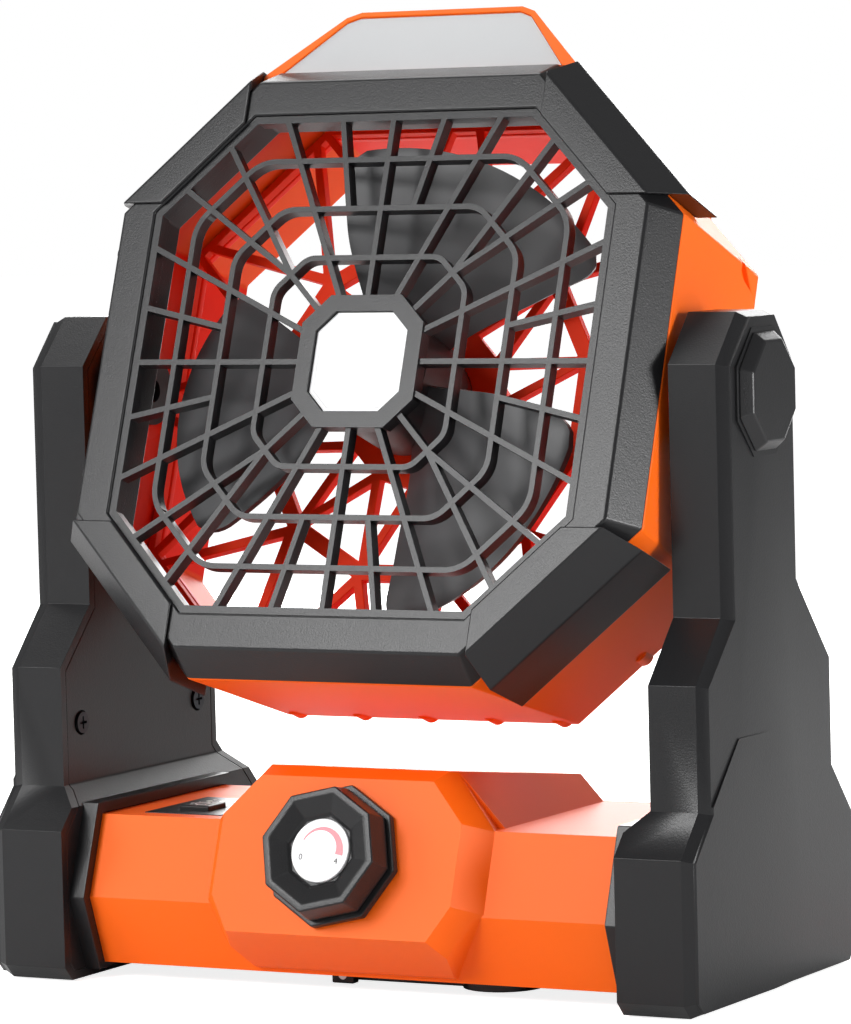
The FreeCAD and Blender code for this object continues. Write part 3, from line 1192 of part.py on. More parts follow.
def fan_motor():
    body = rod(MOTOR_R, (0, MOTOR_FRONT_Y, 0), (0, MOTOR_REAR_Y, 0))
    front = rod(MOTOR_BUSH_R, (0, MOTOR_FRONT_Y - MOTOR_BUSH_T, 0), (0, MOTOR_FRONT_Y, 0))
    motor = joined([body, front])
    bore_end = MOTOR_REAR_Y - MOTOR_SHAFT_STOP
    motor = motor.cut(rod(MOTOR_SHAFT_R + RUNNING_GAP, (0, MOTOR_FRONT_Y - 5, 0), (0, bore_end, 0)))
    for x, z in MOTOR_SCREWS:
        motor = motor.cut(rod(SCREW_R, (x, MOTOR_REAR_Y - MOTOR_SCREW_BITE - 1, z), (x, MOTOR_REAR_Y + 1, z)))
    return motor


def motor_shaft():
    front = ROTOR_FRONT_Y + ROTOR_HUB_FACE_T
    return rod(MOTOR_SHAFT_R, (0, front, 0), (0, MOTOR_REAR_Y - MOTOR_SHAFT_STOP - SOFT_GAP, 0))


def motor_screws():
    length = MOTOR_CUP_WALL + MOTOR_SCREW_BITE
    head_y = MOTOR_CUP_END_Y + SCREW_HEAD_T
    return Part.makeCompound([screw((x, head_y, z), (0, -1, 0), length) for x, z in MOTOR_SCREWS])


def housing_screws():
    head_y = LUG_FRONT_Y + LUG_T + SCREW_HEAD_T
    return Part.makeCompound([screw((x, head_y, z), (0, -1, 0), HOUSING_SCREW_LENGTH) for x, z in HOUSING_SCREWS])


def blade():
    """One wide twisted blade, round at its tip."""
    sections = []
    stations = 4
    for k in range(stations):
        share = k / (stations - 1)
        radius = BLADE_ROOT_R + share * (BLADE_R + 2 - BLADE_ROOT_R)
        chord = BLADE_ROOT_CHORD + share * (BLADE_TIP_CHORD - BLADE_ROOT_CHORD)
        pitch = math.radians(BLADE_ROOT_PITCH + share * (BLADE_TIP_PITCH - BLADE_ROOT_PITCH))
        half = min(chord / 2, BLADE_SWEEP_HALF / math.sin(pitch))
        along = V(math.cos(pitch), math.sin(pitch), 0)
        across = V(-math.sin(pitch), math.cos(pitch), 0)
        centre = V(0, ROTOR_Y, radius)
        corners = [centre.add(along * (sa * half)).add(across * (sb * BLADE_T / 2))
                   for sa, sb in ((-1, -1), (1, -1), (1, 1), (-1, 1))]
        sections.append(Part.makePolygon(corners + [corners[0]]))
    body = Part.makeLoft(sections, True, False)
    return body.common(rod(BLADE_R, (0, -40, 0), (0, 40, 0)))


def fan_rotor():
    hub = rod(ROTOR_HUB_R, (0, ROTOR_FRONT_Y, 0), (0, ROTOR_REAR_Y, 0))
    blades = []
    for k in range(BLADE_COUNT):
        one = blade()
        one.rotate(V(0, 0, 0), V(0, 1, 0), 360.0 * k / BLADE_COUNT + BLADE_START_TURN)
        blades.append(one)
    rotor = joined([hub] + blades)
    rotor = rotor.cut(rod(MOTOR_R + BITE, (0, MOTOR_FRONT_Y - MOTOR_BUSH_R, 0), (0, ROTOR_REAR_Y + 1, 0)))
    return rotor.cut(rod(MOTOR_SHAFT_R, (0, ROTOR_FRONT_Y + ROTOR_HUB_FACE_T, 0), (0, ROTOR_REAR_Y, 0)))


# Lamp

def on_lamp(shape):
    return leaned(shape, LAMP_LEAN, LAMP_Y, LAMP_Z)


def lamp_outline(grow):
    slope = (LAMP_BASE_HALF - LAMP_TOP_HALF) / LAMP_HEIGHT
    base = LAMP_BASE_HALF + slope * LAMP_FOOT
    side = unit((LAMP_TOP_HALF, LAMP_HEIGHT), (LAMP_BASE_HALF, 0))
    low = (LAMP_TOP_HALF + side[0] * LAMP_CORNER, LAMP_HEIGHT + side[1] * LAMP_CORNER)
    outline = [(-base, -LAMP_FOOT), (-low[0], low[1]), (-LAMP_TOP_HALF + LAMP_CORNER, LAMP_HEIGHT),
               (LAMP_TOP_HALF - LAMP_CORNER, LAMP_HEIGHT), low, (base, -LAMP_FOOT)]
    return inset(outline, -grow)


def lamp_block():
    """Outside of the lamp: a leaning front and a back that slopes down onto the head."""
    body = on_lamp(prism(lamp_outline(0), "y", 0, LAMP_DEPTH * 1.4))
    root_z = SEAM_HALF - LAMP_ROOT
    over_z = LAMP_Z + LAMP_HEIGHT * 1.4
    front_y = LAMP_Y - LAMP_FOOT
    tail_y = LAMP_Y + LAMP_DEPTH
    slope_back = prism([(front_y, root_z), (front_y, over_z), (LAMP_Y + LAMP_DEPTH * LAMP_ROOF_SHARE, over_z),
                        (tail_y, REAR_HALF + LAMP_TAIL_RISE), (tail_y, root_z)], "x", -FAR, FAR)
    return body.common(slope_back).cut(head_outer(0.0))


def lens_space(inner, y0, y1):
    outline = lamp_outline(-inner)
    foot_half = LAMP_BASE_HALF - inner - LENS_FOOT_IN
    outline[0] = (-foot_half, LENS_FOOT)
    outline[-1] = (foot_half, LENS_FOOT)
    return on_lamp(prism(outline, "y", y0, y1))


def lamp_housing():
    room = lens_space(LAMP_RIM, -1, LAMP_ROOM_DEPTH)
    housing = lamp_block().cut(room)
    return housing.cut(corner_guard(-1, 1)).cut(corner_guard(1, 1))


def lamp_lens():
    return lens_space(LAMP_RIM + SEAT_GAP, LENS_SETBACK, LENS_SETBACK + LENS_T).cut(head_outer(SEAT_GAP))


def lamp_board():
    half = LAMP_TOP_HALF + LAMP_BOARD_OUT
    plate = box(-half, half, LAMP_BOARD_Y, LAMP_BOARD_Y + LAMP_BOARD_T, LAMP_BOARD_Z - LAMP_BOARD_HALF,
                LAMP_BOARD_Z + LAMP_BOARD_HALF)
    first = -half + LED_END_IN
    pitch = -2 * first / (LED_COUNT - 1)
    led_half = LED_SIZE / 2
    leds = [box(first + k * pitch - led_half, first + k * pitch + led_half, LAMP_BOARD_Y - LED_T, LAMP_BOARD_Y,
                LAMP_BOARD_Z - led_half, LAMP_BOARD_Z + led_half) for k in range(LED_COUNT)]
    return on_lamp(joined([plate] + leds))


def stand_parts():
    parts = {}
    for name, maker in (("leg_shell", right_leg_shell), ("leg_cover", right_leg_cover),
                        ("pivot_bush", right_pivot_bush), ("pivot_cap", right_pivot_cap)):
        parts["right_" + name] = maker()
        parts["left_" + name] = mirrored(parts["right_" + name])
    pads = foot_pockets(0)
    parts["rubber_feet"] = Part.makeCompound(pads + [mirrored(pad) for pad in pads])
    for maker in (leg_screws, base_housing, base_bottom_cover, bottom_cover_screws, hanging_hook, hook_pin,
                  knob_base, speed_knob, knob_dial, switch_shaft, rotary_switch, control_panel, charge_lights,
                  light_button, panel_board, button_switch, battery_holder, control_board, charging_port,
                  port_board):
        parts[maker.__name__] = maker()
    parts["front_battery_cell"] = battery_cell(0)
    parts["rear_battery_cell"] = battery_cell(1)
    return parts


def head_parts():
    """The parts that lean with the head, upright about the tilt axis."""
    parts = {}
    for name, maker in (("pivot_shaft", right_pivot_shaft), ("friction_washer", right_friction_washer),
                        ("pivot_nut", right_pivot_nut)):
        parts["right_" + name] = maker()
        parts["left_" + name] = mirrored(parts["right_" + name])
    for name, sx, sz in (("top_left", -1, 1), ("top_right", 1, 1), ("bottom_left", -1, -1), ("bottom_right", 1, -1)):
        parts[name + "_corner_guard"] = corner_guard(sx, sz)
    for maker in (front_bezel, rear_housing, front_grille, grille_badge, rear_grille, fan_motor, motor_screws,
                  housing_screws, motor_shaft, fan_rotor, lamp_housing, lamp_lens, lamp_board):
        parts[maker.__name__] = maker()
    return parts


def main():
    os.makedirs("parts", exist_ok=True)
    parts = stand_parts()
    for name, shape in head_parts().items():
        parts[name] = on_head(shape)
    whole = Part.makeCompound(list(parts.values())).optimalBoundingBox(False, False)
    middle_y = (whole.YMin + whole.YMax) / 2
    print("middle of the depth", round(middle_y, 4), "height", round(whole.ZMax, 2))
    for name, shape in parts.items():
        shape.translate(V(0, -middle_y, 0))
        save(name, shape)


main()
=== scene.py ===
"""Looks of a portable camping fan: an eight-sided fan head with a lamp, tilting between two legs.

Metres. X is to the right as seen from the front, the front looks along -Y and Z is up.
"""
import json
import logging
import math
from dataclasses import asdict, dataclass, field
from enum import Enum
from typing import Callable, Dict, Optional, Sequence, Tuple, Union

import bmesh
import bpy
from mathutils import Matrix, Vector


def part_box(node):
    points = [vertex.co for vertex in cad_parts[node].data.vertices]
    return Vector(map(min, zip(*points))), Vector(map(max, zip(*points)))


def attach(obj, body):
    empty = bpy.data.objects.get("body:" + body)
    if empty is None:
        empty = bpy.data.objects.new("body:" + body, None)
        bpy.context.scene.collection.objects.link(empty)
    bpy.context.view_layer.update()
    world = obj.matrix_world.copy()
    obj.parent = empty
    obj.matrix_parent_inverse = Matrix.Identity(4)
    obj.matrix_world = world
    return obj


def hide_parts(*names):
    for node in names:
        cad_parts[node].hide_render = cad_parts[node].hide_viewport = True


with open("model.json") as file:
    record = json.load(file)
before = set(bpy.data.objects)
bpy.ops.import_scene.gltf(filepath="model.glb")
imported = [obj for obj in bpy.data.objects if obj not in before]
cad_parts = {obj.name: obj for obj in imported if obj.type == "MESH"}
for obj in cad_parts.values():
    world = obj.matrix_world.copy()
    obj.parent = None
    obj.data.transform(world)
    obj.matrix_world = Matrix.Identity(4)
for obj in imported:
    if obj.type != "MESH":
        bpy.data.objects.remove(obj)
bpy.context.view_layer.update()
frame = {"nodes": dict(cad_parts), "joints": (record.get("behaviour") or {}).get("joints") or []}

log = logging.getLogger("camping_fan")

MM = 0.001
Colour = Tuple[float, float, float]
EVEN: Colour = (1.0, 1.0, 1.0)
PURE_WHITE = (1.0, 1.0, 1.0, 1.0)
# How far the head and the knob lean back, in degrees.
LEAN = 20.0
# A face looks along an axis when its normal's share of that axis is above this.
FACING = 0.9
Operand = Union["Signal", float]


class Slot(Enum):
    """Material slots of the record."""

    BLACK = "black_plastic"
    ORANGE = "orange_plastic"
    RED = "red_plastic"
    SMOKE = "smoke_plastic"
    RUBBER = "rubber"
    ZINC = "zinc_steel"
    MOTOR = "motor_case"
    NYLON = "nylon"
    WHITE = "white_plastic"
    PIPE = "light_pipe"
    LENS = "lamp_lens"
    CELL = "cell_wrap"
    BOARD = "board"


class Signal:
    """A socket of a material, on which sums are written as plain expressions."""

    def __init__(self, shader: "Shader", socket: bpy.types.NodeSocket) -> None:
        """Keeps the material and the socket that the value comes from."""
        self.shader = shader
        self.socket = socket

    def _sum(self, operation: str, first: Operand, second: Operand) -> "Signal":
        """Adds one Math node."""
        return self.shader.node("ShaderNodeMath", {"operation": operation}, {0: first, 1: second})

    def __add__(self, other: Operand) -> "Signal":
        """Sum."""
        return self._sum("ADD", self, other)

    def __radd__(self, other: Operand) -> "Signal":
        """Sum with the number first."""
        return self._sum("ADD", other, self)

    def __sub__(self, other: Operand) -> "Signal":
        """Difference."""
        return self._sum("SUBTRACT", self, other)

    def __rsub__(self, other: Operand) -> "Signal":
        """Difference with the number first."""
        return self._sum("SUBTRACT", other, self)

    def __mul__(self, other: Operand) -> "Signal":
        """Product."""
        return self._sum("MULTIPLY", self, other)

    def size(self) -> "Signal":
        """The value without its sign."""
        return self._sum("ABSOLUTE", self, 0.0)

    def greater(self, other: Operand) -> "Signal":
        """The greater of two values."""
        return self._sum("MAXIMUM", self, other)

    def band(self, low: float, high: float) -> "Signal":
        """Smooth step from 0 at `low` to 1 at `high`."""
        return self.shader.node("ShaderNodeMapRange", {"interpolation_type": "SMOOTHSTEP"},
                                {"Value": self, "From Min": low, "From Max": high})


class Shader:
    """One material with a Principled surface and its node tree."""

    def __init__(self, name: str, **constants: object) -> None:
        """Makes the material and sets the numbers that are the same all over.

        Args:
            name: the material's name.
            constants: socket names, with underscores for spaces, and their values.
        """
        self.material = bpy.data.materials.new(name)
        self.material.use_nodes = True
        self.tree = self.material.node_tree
        self.tree.nodes.clear()
        self.surface = self.tree.nodes.new("ShaderNodeBsdfPrincipled")
        output = self.tree.nodes.new("ShaderNodeOutputMaterial")
        self.tree.links.new(self.surface.outputs[0], output.inputs["Surface"])
        for key, value in constants.items():
            self.surface.inputs[key.replace("_", " ")].default_value = value
        self.place = self.node("ShaderNodeTexCoord", output=3)

    def node(self, kind: str, settings: Optional[Dict[str, object]] = None,
             inputs: Optional[Dict[Union[int, str], object]] = None, output: int = 0) -> Signal:
        """Adds one node.

        Args:
            kind: the node's type.
            settings: what is set on the node first; "stops" are a ramp's places and colours.
            inputs: values or signals for its sockets.
            output: which output is handed back.

        Returns:
            The chosen output.
        """
        node = self.tree.nodes.new(kind)
        for key, value in (settings or {}).items():
            if key == "stops":
                for spare in list(node.color_ramp.elements)[2:]:
                    node.color_ramp.elements.remove(spare)
                for index, (at, colour) in enumerate(value):
                    ramp = node.color_ramp.elements
                    stop = ramp[index] if index < 2 else ramp.new(at)
                    stop.position = at
                    stop.color = (*colour, 1.0)
            else:
                setattr(node, key, value)
        for key, value in (inputs or {}).items():
            self.feed(node.inputs[key], value)
        return Signal(self, node.outputs[output])

    def feed(self, socket: bpy.types.NodeSocket, value: object) -> None:
        """Links a signal to a socket or sets its number."""
        if isinstance(value, Signal):
            self.tree.links.new(value.socket, socket)
        else:
            socket.default_value = value

    def noise(self, size: float, detail: float = 2.0, stretch: Colour = EVEN) -> Signal:
        """Adds a noise texture.

        Args:
            size: about how wide its grains are, in metres.
            detail: how many finer layers it has.
            stretch: how much closer the grains lie along each axis.

        Returns:
            The noise.
        """
        place = self.place
        if stretch != EVEN:
            place = self.node("ShaderNodeMapping", inputs={"Vector": place, "Scale": stretch})
        grains = {"Vector": place, "Scale": 1.0 / size, "Detail": detail}
        return self.node("ShaderNodeTexNoise", inputs=grains)

    def blend(self, factor: Operand, low: Union[Signal, Colour], high: Union[Signal, Colour]) -> Signal:
        """Mixes two colours.

        Args:
            factor: 0 for the first colour, 1 for the second.
            low: the first colour.
            high: the second colour.

        Returns:
            The colour between them.
        """
        ends = [value if isinstance(value, Signal) else (*value, 1.0) for value in (low, high)]
        mixed = {0: factor, 6: ends[0], 7: ends[1]}
        return self.node("ShaderNodeMix", {"data_type": "RGBA"}, mixed, output=2)

    def bump(self, height: Signal, depth: float, strength: float = 1.0) -> None:
        """Feeds the surface's normal from a height of `depth` metres."""
        relief = {"Height": height, "Distance": depth, "Strength": strength}
        self.feed(self.surface.inputs["Normal"], self.node("ShaderNodeBump", inputs=relief))

    def paint(self, socket: str, value: Signal) -> None:
        """Feeds one of the surface's sockets."""
        self.feed(self.surface.inputs[socket], value)


def scaled(colour: Colour, share: float) -> Colour:
    """Colour made darker or lighter."""
    return tuple(min(1.0, part * share) for part in colour)


@dataclass(frozen=True)
class MouldedPlastic:
    """Moulded plastic with a spark-eroded grain and slightly uneven colour."""

    name: str
    colour: Colour
    roughness: float
    grain: float = 0.45 * MM
    depth: float = 0.03 * MM
    mottle: float = 0.05
    coat: float = 0.0
    flow: float = 35 * MM
    shine: float = 0.5

    def colours(self, shader: Shader, tone: Signal) -> Signal:
        """Colour of the surface, slightly uneven with `tone`."""
        return shader.blend(tone, scaled(self.colour, 1 - self.mottle), scaled(self.colour, 1 + self.mottle))

    def material(self) -> bpy.types.Material:
        """Builds the material."""
        shader = Shader(self.name, Coat_Weight=self.coat, Coat_Roughness=0.3, IOR=1.5,
                        Specular_IOR_Level=self.shine)
        fine = shader.noise(self.grain)
        broad = shader.noise(self.flow, 3.0)
        pits = shader.noise(self.grain * 4.0, 1.0)
        tone = broad * 0.6 + fine * 0.4
        shader.paint("Base Color", self.colours(shader, tone))
        shader.paint("Roughness", self.roughness - 0.08 + fine * 0.1 + broad * 0.06)
        shader.bump(fine * 0.75 + pits * 0.25, self.depth)
        return shader.material


@dataclass(frozen=True)
class ShellPlasticPaintedBounce(MouldedPlastic):
    """Plastic of the head's shell, with a deeper red painted on the walls of its room as bounce light."""

    # Painted bounce light: the deeper red painted on the walls inside the shell.
    inside: Colour = (1.0, 0.035, 0.002)
    axis: Colour = (0.0, 0.0, 0.0)
    lean: float = LEAN
    seam: float = -17.0 * MM
    half: float = 82.1 * MM
    side_half: float = 40.9 * MM
    taper: float = 0.0796
    wall: float = 2.4 * MM
    painted_bounce_until: float = 0.96
    plain_from: float = 0.6

    def colours(self, shader: Shader, tone: Signal) -> Signal:
        """The plain colour outside, and inside the wall the deeper red of painted bounce light."""
        turn = Matrix.Rotation(math.radians(self.lean), 3, "X")
        shift = -(turn @ Vector(self.axis))
        local = shader.node("ShaderNodeMapping", inputs={"Vector": shader.place, "Location": shift,
                                                         "Rotation": (math.radians(self.lean), 0.0, 0.0)})
        parts = [shader.node("ShaderNodeSeparateXYZ", inputs={0: local}, output=index) for index in range(3)]
        wide, high = parts[0].size(), parts[2].size()
        edge = self.half - (parts[1] - self.seam) * self.taper
        corner = (wide + high - edge - self.side_half) * math.cos(math.pi / 4)
        depth = (wide - edge).greater(high - edge).greater(corner)
        # Painted bounce light: the colour fades from the plain orange to the deeper red inside the wall.
        unpainted_share = depth.band(-self.painted_bounce_until * self.wall, -self.plain_from * self.wall)
        return shader.blend(unpainted_share, self.inside, super().colours(shader, tone))


@dataclass(frozen=True)
class Metal:
    """Bare or plated metal with fine drawn lines."""

    name: str
    colour: Colour
    roughness: float
    along: Colour = (1.0, 12.0, 1.0)

    def material(self) -> bpy.types.Material:
        """Builds the material."""
        shader = Shader(self.name, Metallic=1.0)
        lines = shader.noise(1.2 * MM, 2.0, self.along)
        cloud = shader.noise(9 * MM, 2.0)
        shader.paint("Base Color", shader.blend(cloud, scaled(self.colour, 0.85), self.colour))
        shader.paint("Roughness", self.roughness + lines * 0.12 - cloud * 0.06)
        shader.bump(lines, 0.01 * MM, 0.6)
        return shader.material


@dataclass(frozen=True)
class FrostedLens:
    """Milky light diffuser with fine upright prisms."""

    name: str
    colour: Colour
    pitch: float = 1.6 * MM

    def material(self) -> bpy.types.Material:
        """Builds the material."""
        shader = Shader(self.name, IOR=1.49, Transmission_Weight=0.12, Coat_Weight=0.25, Coat_Roughness=0.12)
        prisms = shader.node("ShaderNodeTexWave", {"wave_type": "BANDS", "bands_direction": "X"},
                             {"Vector": shader.place, "Scale": 0.314 / self.pitch, "Distortion": 0.0})
        cloud = shader.noise(28 * MM, 2.0)
        shader.paint("Base Color", shader.blend(cloud, scaled(self.colour, 0.94), self.colour))
        shader.paint("Roughness", 0.3 + cloud * 0.12)
        shader.bump(prisms, 0.02 * MM, 0.35)
        return shader.material


@dataclass(frozen=True)
class CircuitBoard:
    """Solder mask with lighter tracks and tinned pads."""

    name: str
    mask: Colour = (0.015, 0.12, 0.05)
    track: Colour = (0.04, 0.24, 0.1)
    tin: Colour = (0.62, 0.62, 0.6)
    track_scale: float = 130.0
    pad_scale: float = 260.0

    def material(self) -> bpy.types.Material:
        """Builds the material."""
        shader = Shader(self.name, IOR=1.5)
        bricks = {"Vector": shader.place, "Scale": self.track_scale, "Mortar Size": 0.06,
                  "Mortar": (0, 0, 0, 1)}
        routes = shader.node("ShaderNodeTexBrick", {"offset": 0.37, "squash": 1.6}, bricks, output=1)
        pads = shader.node("ShaderNodeTexVoronoi", inputs={"Vector": shader.place, "Scale": self.pad_scale})
        tinned = 1.0 - pads.band(0.16, 0.2)
        green = shader.blend(routes, self.mask, self.track)
        shader.paint("Base Color", shader.blend(tinned, green, self.tin))
        shader.paint("Metallic", tinned)
        shader.paint("Roughness", 0.42 - routes * 0.1)
        shader.bump(routes + tinned, 0.03 * MM)
        return shader.material


@dataclass(frozen=True)
class DialPrint:
    """White printed face with a faint paper-fine tooth."""

    name: str
    colour: Colour

    def material(self) -> bpy.types.Material:
        """Builds the material."""
        shader = Shader(self.name, IOR=1.5, Coat_Weight=0.3, Coat_Roughness=0.15)
        tooth = shader.noise(0.3 * MM)
        shader.paint("Base Color", shader.blend(tooth, scaled(self.colour, 0.97), self.colour))
        shader.paint("Roughness", 0.38 + tooth * 0.08)
        shader.bump(tooth, 0.006 * MM)
        return shader.material


FINISHES = {
    Slot.BLACK: MouldedPlastic("black_moulding", (0.013, 0.013, 0.014), 0.33, mottle=0.12, depth=0.05 * MM,
                               shine=0.36),
    Slot.ORANGE: MouldedPlastic("orange_moulding", (0.99, 0.145, 0.006), 0.46, grain=0.3 * MM,
                                depth=0.012 * MM, mottle=0.02, flow=60 * MM, shine=0.22),
    Slot.RED: MouldedPlastic("orange_red_moulding", (1.0, 0.04, 0.003), 0.55, grain=0.3 * MM,
                             depth=0.012 * MM, mottle=0.03, shine=0.15),
    Slot.SMOKE: MouldedPlastic("smoke_grey_blade", (0.07, 0.07, 0.073), 0.4, grain=0.3 * MM, depth=0.01 * MM,
                               mottle=0.06),
    Slot.RUBBER: MouldedPlastic("foot_rubber", (0.018, 0.018, 0.018), 0.78, grain=0.7 * MM, depth=0.06 * MM,
                                mottle=0.2),
    Slot.ZINC: Metal("zinc_plate", (0.62, 0.63, 0.66), 0.3),
    Slot.MOTOR: Metal("motor_can", (0.5, 0.5, 0.52), 0.36, (1.0, 0.1, 1.0)),
    Slot.NYLON: MouldedPlastic("natural_nylon", (0.74, 0.72, 0.64), 0.46, mottle=0.04),
    Slot.WHITE: DialPrint("white_face", (0.84, 0.84, 0.85)),
    Slot.PIPE: MouldedPlastic("milky_light_pipe", (0.68, 0.78, 0.7), 0.3, depth=0.006 * MM, coat=0.4),
    Slot.LENS: FrostedLens("frosted_lens", (0.62, 0.63, 0.64)),
    Slot.CELL: MouldedPlastic("cell_shrink_wrap", (0.03, 0.16, 0.36), 0.3, grain=1.5 * MM, depth=0.02 * MM,
                              mottle=0.15, coat=0.5),
    Slot.BOARD: CircuitBoard("green_board"),
}
# Painted shade: near-black metal for the leg screws, standing in for the shade of the recesses they sit in,
# in place of their zinc-steel finish.
SCREW_RECESS_SHADE = Metal("screw_painted_shade", (0.045, 0.045, 0.05), 0.38)
DARK_NYLON = MouldedPlastic("dark_nylon", (0.02, 0.018, 0.018), 0.5)
RED_PRINT = DialPrint("red_print", (0.75, 0.12, 0.16))


class Workshop:
    """The hand tools: copies, edge rounding and handing pieces to the frame."""

    def __init__(self) -> None:
        """Makes every finish once."""
        self.materials = {slot: finish.material() for slot, finish in FINISHES.items()}
        self.screws_in_painted_shade = SCREW_RECESS_SHADE.material()
        self.dark_nylon = DARK_NYLON.material()

    @staticmethod
    def deselect() -> None:
        """Leaves edit mode and drops the selection."""
        if bpy.context.object and bpy.context.object.mode != "OBJECT":
            bpy.ops.object.mode_set(mode="OBJECT")
        bpy.ops.object.select_all(action="DESELECT")

    def take(self, piece: bpy.types.Object) -> bpy.types.Object:
        """Makes one piece the only selected and active one."""
        self.deselect()
        piece.select_set(True)
        bpy.context.view_layer.objects.active = piece
        return piece

    def edit(self, piece: bpy.types.Object, mode: str = "FACE") -> None:
        """Opens a piece in edit mode with nothing selected."""
        self.take(piece)
        bpy.ops.object.mode_set(mode="EDIT")
        bpy.ops.mesh.select_mode(type=mode)
        bpy.ops.mesh.select_all(action="DESELECT")

    @staticmethod
    def close() -> None:
        """Back to object mode."""
        bpy.ops.object.mode_set(mode="OBJECT")

    @staticmethod
    def pick_faces(piece: bpy.types.Object, test: Callable[[bmesh.types.BMFace], bool]) -> None:
        """Selects the faces of the open piece that pass a test of their place or normal."""
        mesh = bmesh.from_edit_mesh(piece.data)
        for face in mesh.faces:
            face.select_set(test(face))
        mesh.select_flush_mode()
        bmesh.update_edit_mesh(piece.data)

    @staticmethod
    def pick_edges(piece: bpy.types.Object, test: Callable[[bmesh.types.BMEdge], bool]) -> None:
        """Selects the edges of the open piece that pass a test."""
        mesh = bmesh.from_edit_mesh(piece.data)
        for edge in mesh.edges:
            edge.select_set(test(edge))
        bmesh.update_edit_mesh(piece.data)

    @staticmethod
    def turn_outwards() -> None:
        """Points every face of the open piece outwards."""
        bpy.ops.mesh.select_all(action="SELECT")
        bpy.ops.mesh.normals_make_consistent(inside=False)

    def raise_flat(self, height: float) -> None:
        """Gives the open flat piece a body of `height` metres."""
        bpy.ops.mesh.select_all(action="SELECT")
        bpy.ops.mesh.extrude_region_move(TRANSFORM_OT_translate={"value": (0.0, 0.0, height)})
        self.turn_outwards()

    def join(self, first: bpy.types.Object, others: Sequence[bpy.types.Object]) -> bpy.types.Object:
        """Joins pieces into the first one and hands it back."""
        self.take(first)
        for other in others:
            other.select_set(True)
        bpy.ops.object.join()
        return first

    def copy_node(self, node: str, name: str) -> bpy.types.Object:
        """Copy of a CAD node's mesh with its doubles merged and its flat faces whole."""
        piece = bpy.data.objects.new(name, frame["nodes"][node].data.copy())
        bpy.context.scene.collection.objects.link(piece)
        self.take(piece)
        bpy.ops.mesh.customdata_custom_splitnormals_clear()
        bpy.ops.object.mode_set(mode="EDIT")
        bpy.ops.mesh.select_all(action="SELECT")
        bpy.ops.mesh.remove_doubles(threshold=0.002 * MM)
        bpy.ops.mesh.dissolve_limited(angle_limit=math.radians(0.5))
        self.close()
        return piece

    def round_edges(self, piece: bpy.types.Object, width: float, segments: int = 2,
                    angle: float = 18.0) -> int:
        """Rounds the sharp edges that have room for it.

        Args:
            piece: the piece, in object mode.
            width: how far the rounding reaches to each side, in metres.
            segments: facets across the rounding.
            angle: the least angle between faces, in degrees.

        Returns:
            The number of edges that were rounded.
        """
        self.edit(piece, "EDGE")
        mesh = bmesh.from_edit_mesh(piece.data)
        least = math.radians(angle)
        shortest = {vert.index: min(edge.calc_length() for edge in vert.link_edges) for vert in mesh.verts
                    if vert.link_edges}
        count = 0
        for edge in mesh.edges:
            if len(edge.link_faces) != 2 or edge.calc_face_angle(0.0) < least:
                continue
            if edge.calc_length() < 2.2 * width:
                continue
            if min(shortest[vert.index] for vert in edge.verts) < 1.25 * width:
                continue
            edge.select_set(True)
            count += 1
        bmesh.update_edit_mesh(piece.data)
        if count:
            bpy.ops.mesh.bevel(offset=width, offset_type="OFFSET", segments=segments, profile=0.5,
                               affect="EDGES", clamp_overlap=True)
        self.close()
        return count

    def hand_over(self, piece: bpy.types.Object, body: str, slot: Slot, replaces: Sequence[str] = (),
                  smooth: float = 30.0) -> bpy.types.Object:
        """Gives a piece its finish and its body.

        Args:
            piece: the finished mesh, in place.
            body: the CAD body that it moves with.
            slot: its material slot.
            replaces: the CAD nodes that it stands for.
            smooth: the greatest angle that is shaded smooth, in degrees.

        Returns:
            The piece.
        """
        self.take(piece)
        self.settle()
        bpy.ops.object.shade_smooth_by_angle(angle=math.radians(smooth))
        even = piece.modifiers.new("even_normals", "WEIGHTED_NORMAL")
        even.keep_sharp = True
        bpy.ops.object.modifier_apply(modifier=even.name)
        piece.data.materials.clear()
        piece.data.materials.append(self.materials[slot])
        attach(piece, body)
        if replaces:
            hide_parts(*replaces)
        log.info("%s: %d faces", piece.name, len(piece.data.polygons))
        return piece

    def soften(self, node: str, body: str, slot: Slot, width: float, segments: int = 2) -> bpy.types.Object:
        """Stands a copy with rounded edges in a CAD node's place.

        Args:
            node: the CAD node.
            body: the CAD body that it moves with.
            slot: its material slot.
            width: how far the rounding reaches to each side, in metres.
            segments: facets across the rounding.

        Returns:
            The copy.
        """
        piece = self.copy_node(node, node + "_moulded")
        count = self.round_edges(piece, width, segments)
        log.info("%s: %d edges rounded", node, count)
        return self.hand_over(piece, body, slot, [node])

    def repaint(self, node: str, finish: Union[Slot, bpy.types.Material]) -> None:
        """Gives a CAD node that stays its finish."""
        material = self.materials[finish] if isinstance(finish, Slot) else finish
        shown = frame["nodes"][node]
        if not shown.material_slots:
            shown.data.materials.append(material)
        for place in shown.material_slots:
            place.material = material

    @staticmethod
    def settle() -> None:
        """Applies the selected piece's place, turn and size to its mesh."""
        bpy.ops.object.transform_apply(location=True, rotation=True, scale=True)

    def move(self, piece: bpy.types.Object, matrix: Matrix) -> None:
        """Moves a piece's mesh, with its object left at the origin."""
        self.take(piece)
        self.settle()
        piece.data.transform(matrix)


def joint_place(name: str) -> Vector:
    """Finds a joint's place.

    Args:
        name: the joint's name in the record.

    Returns:
        A point on its axis, in the frame.

    Raises:
        KeyError: no joint has that name.
    """
    for joint in frame["joints"]:
        if joint["name"] == name:
            return Vector(joint["pos_m"])
    raise KeyError(name)


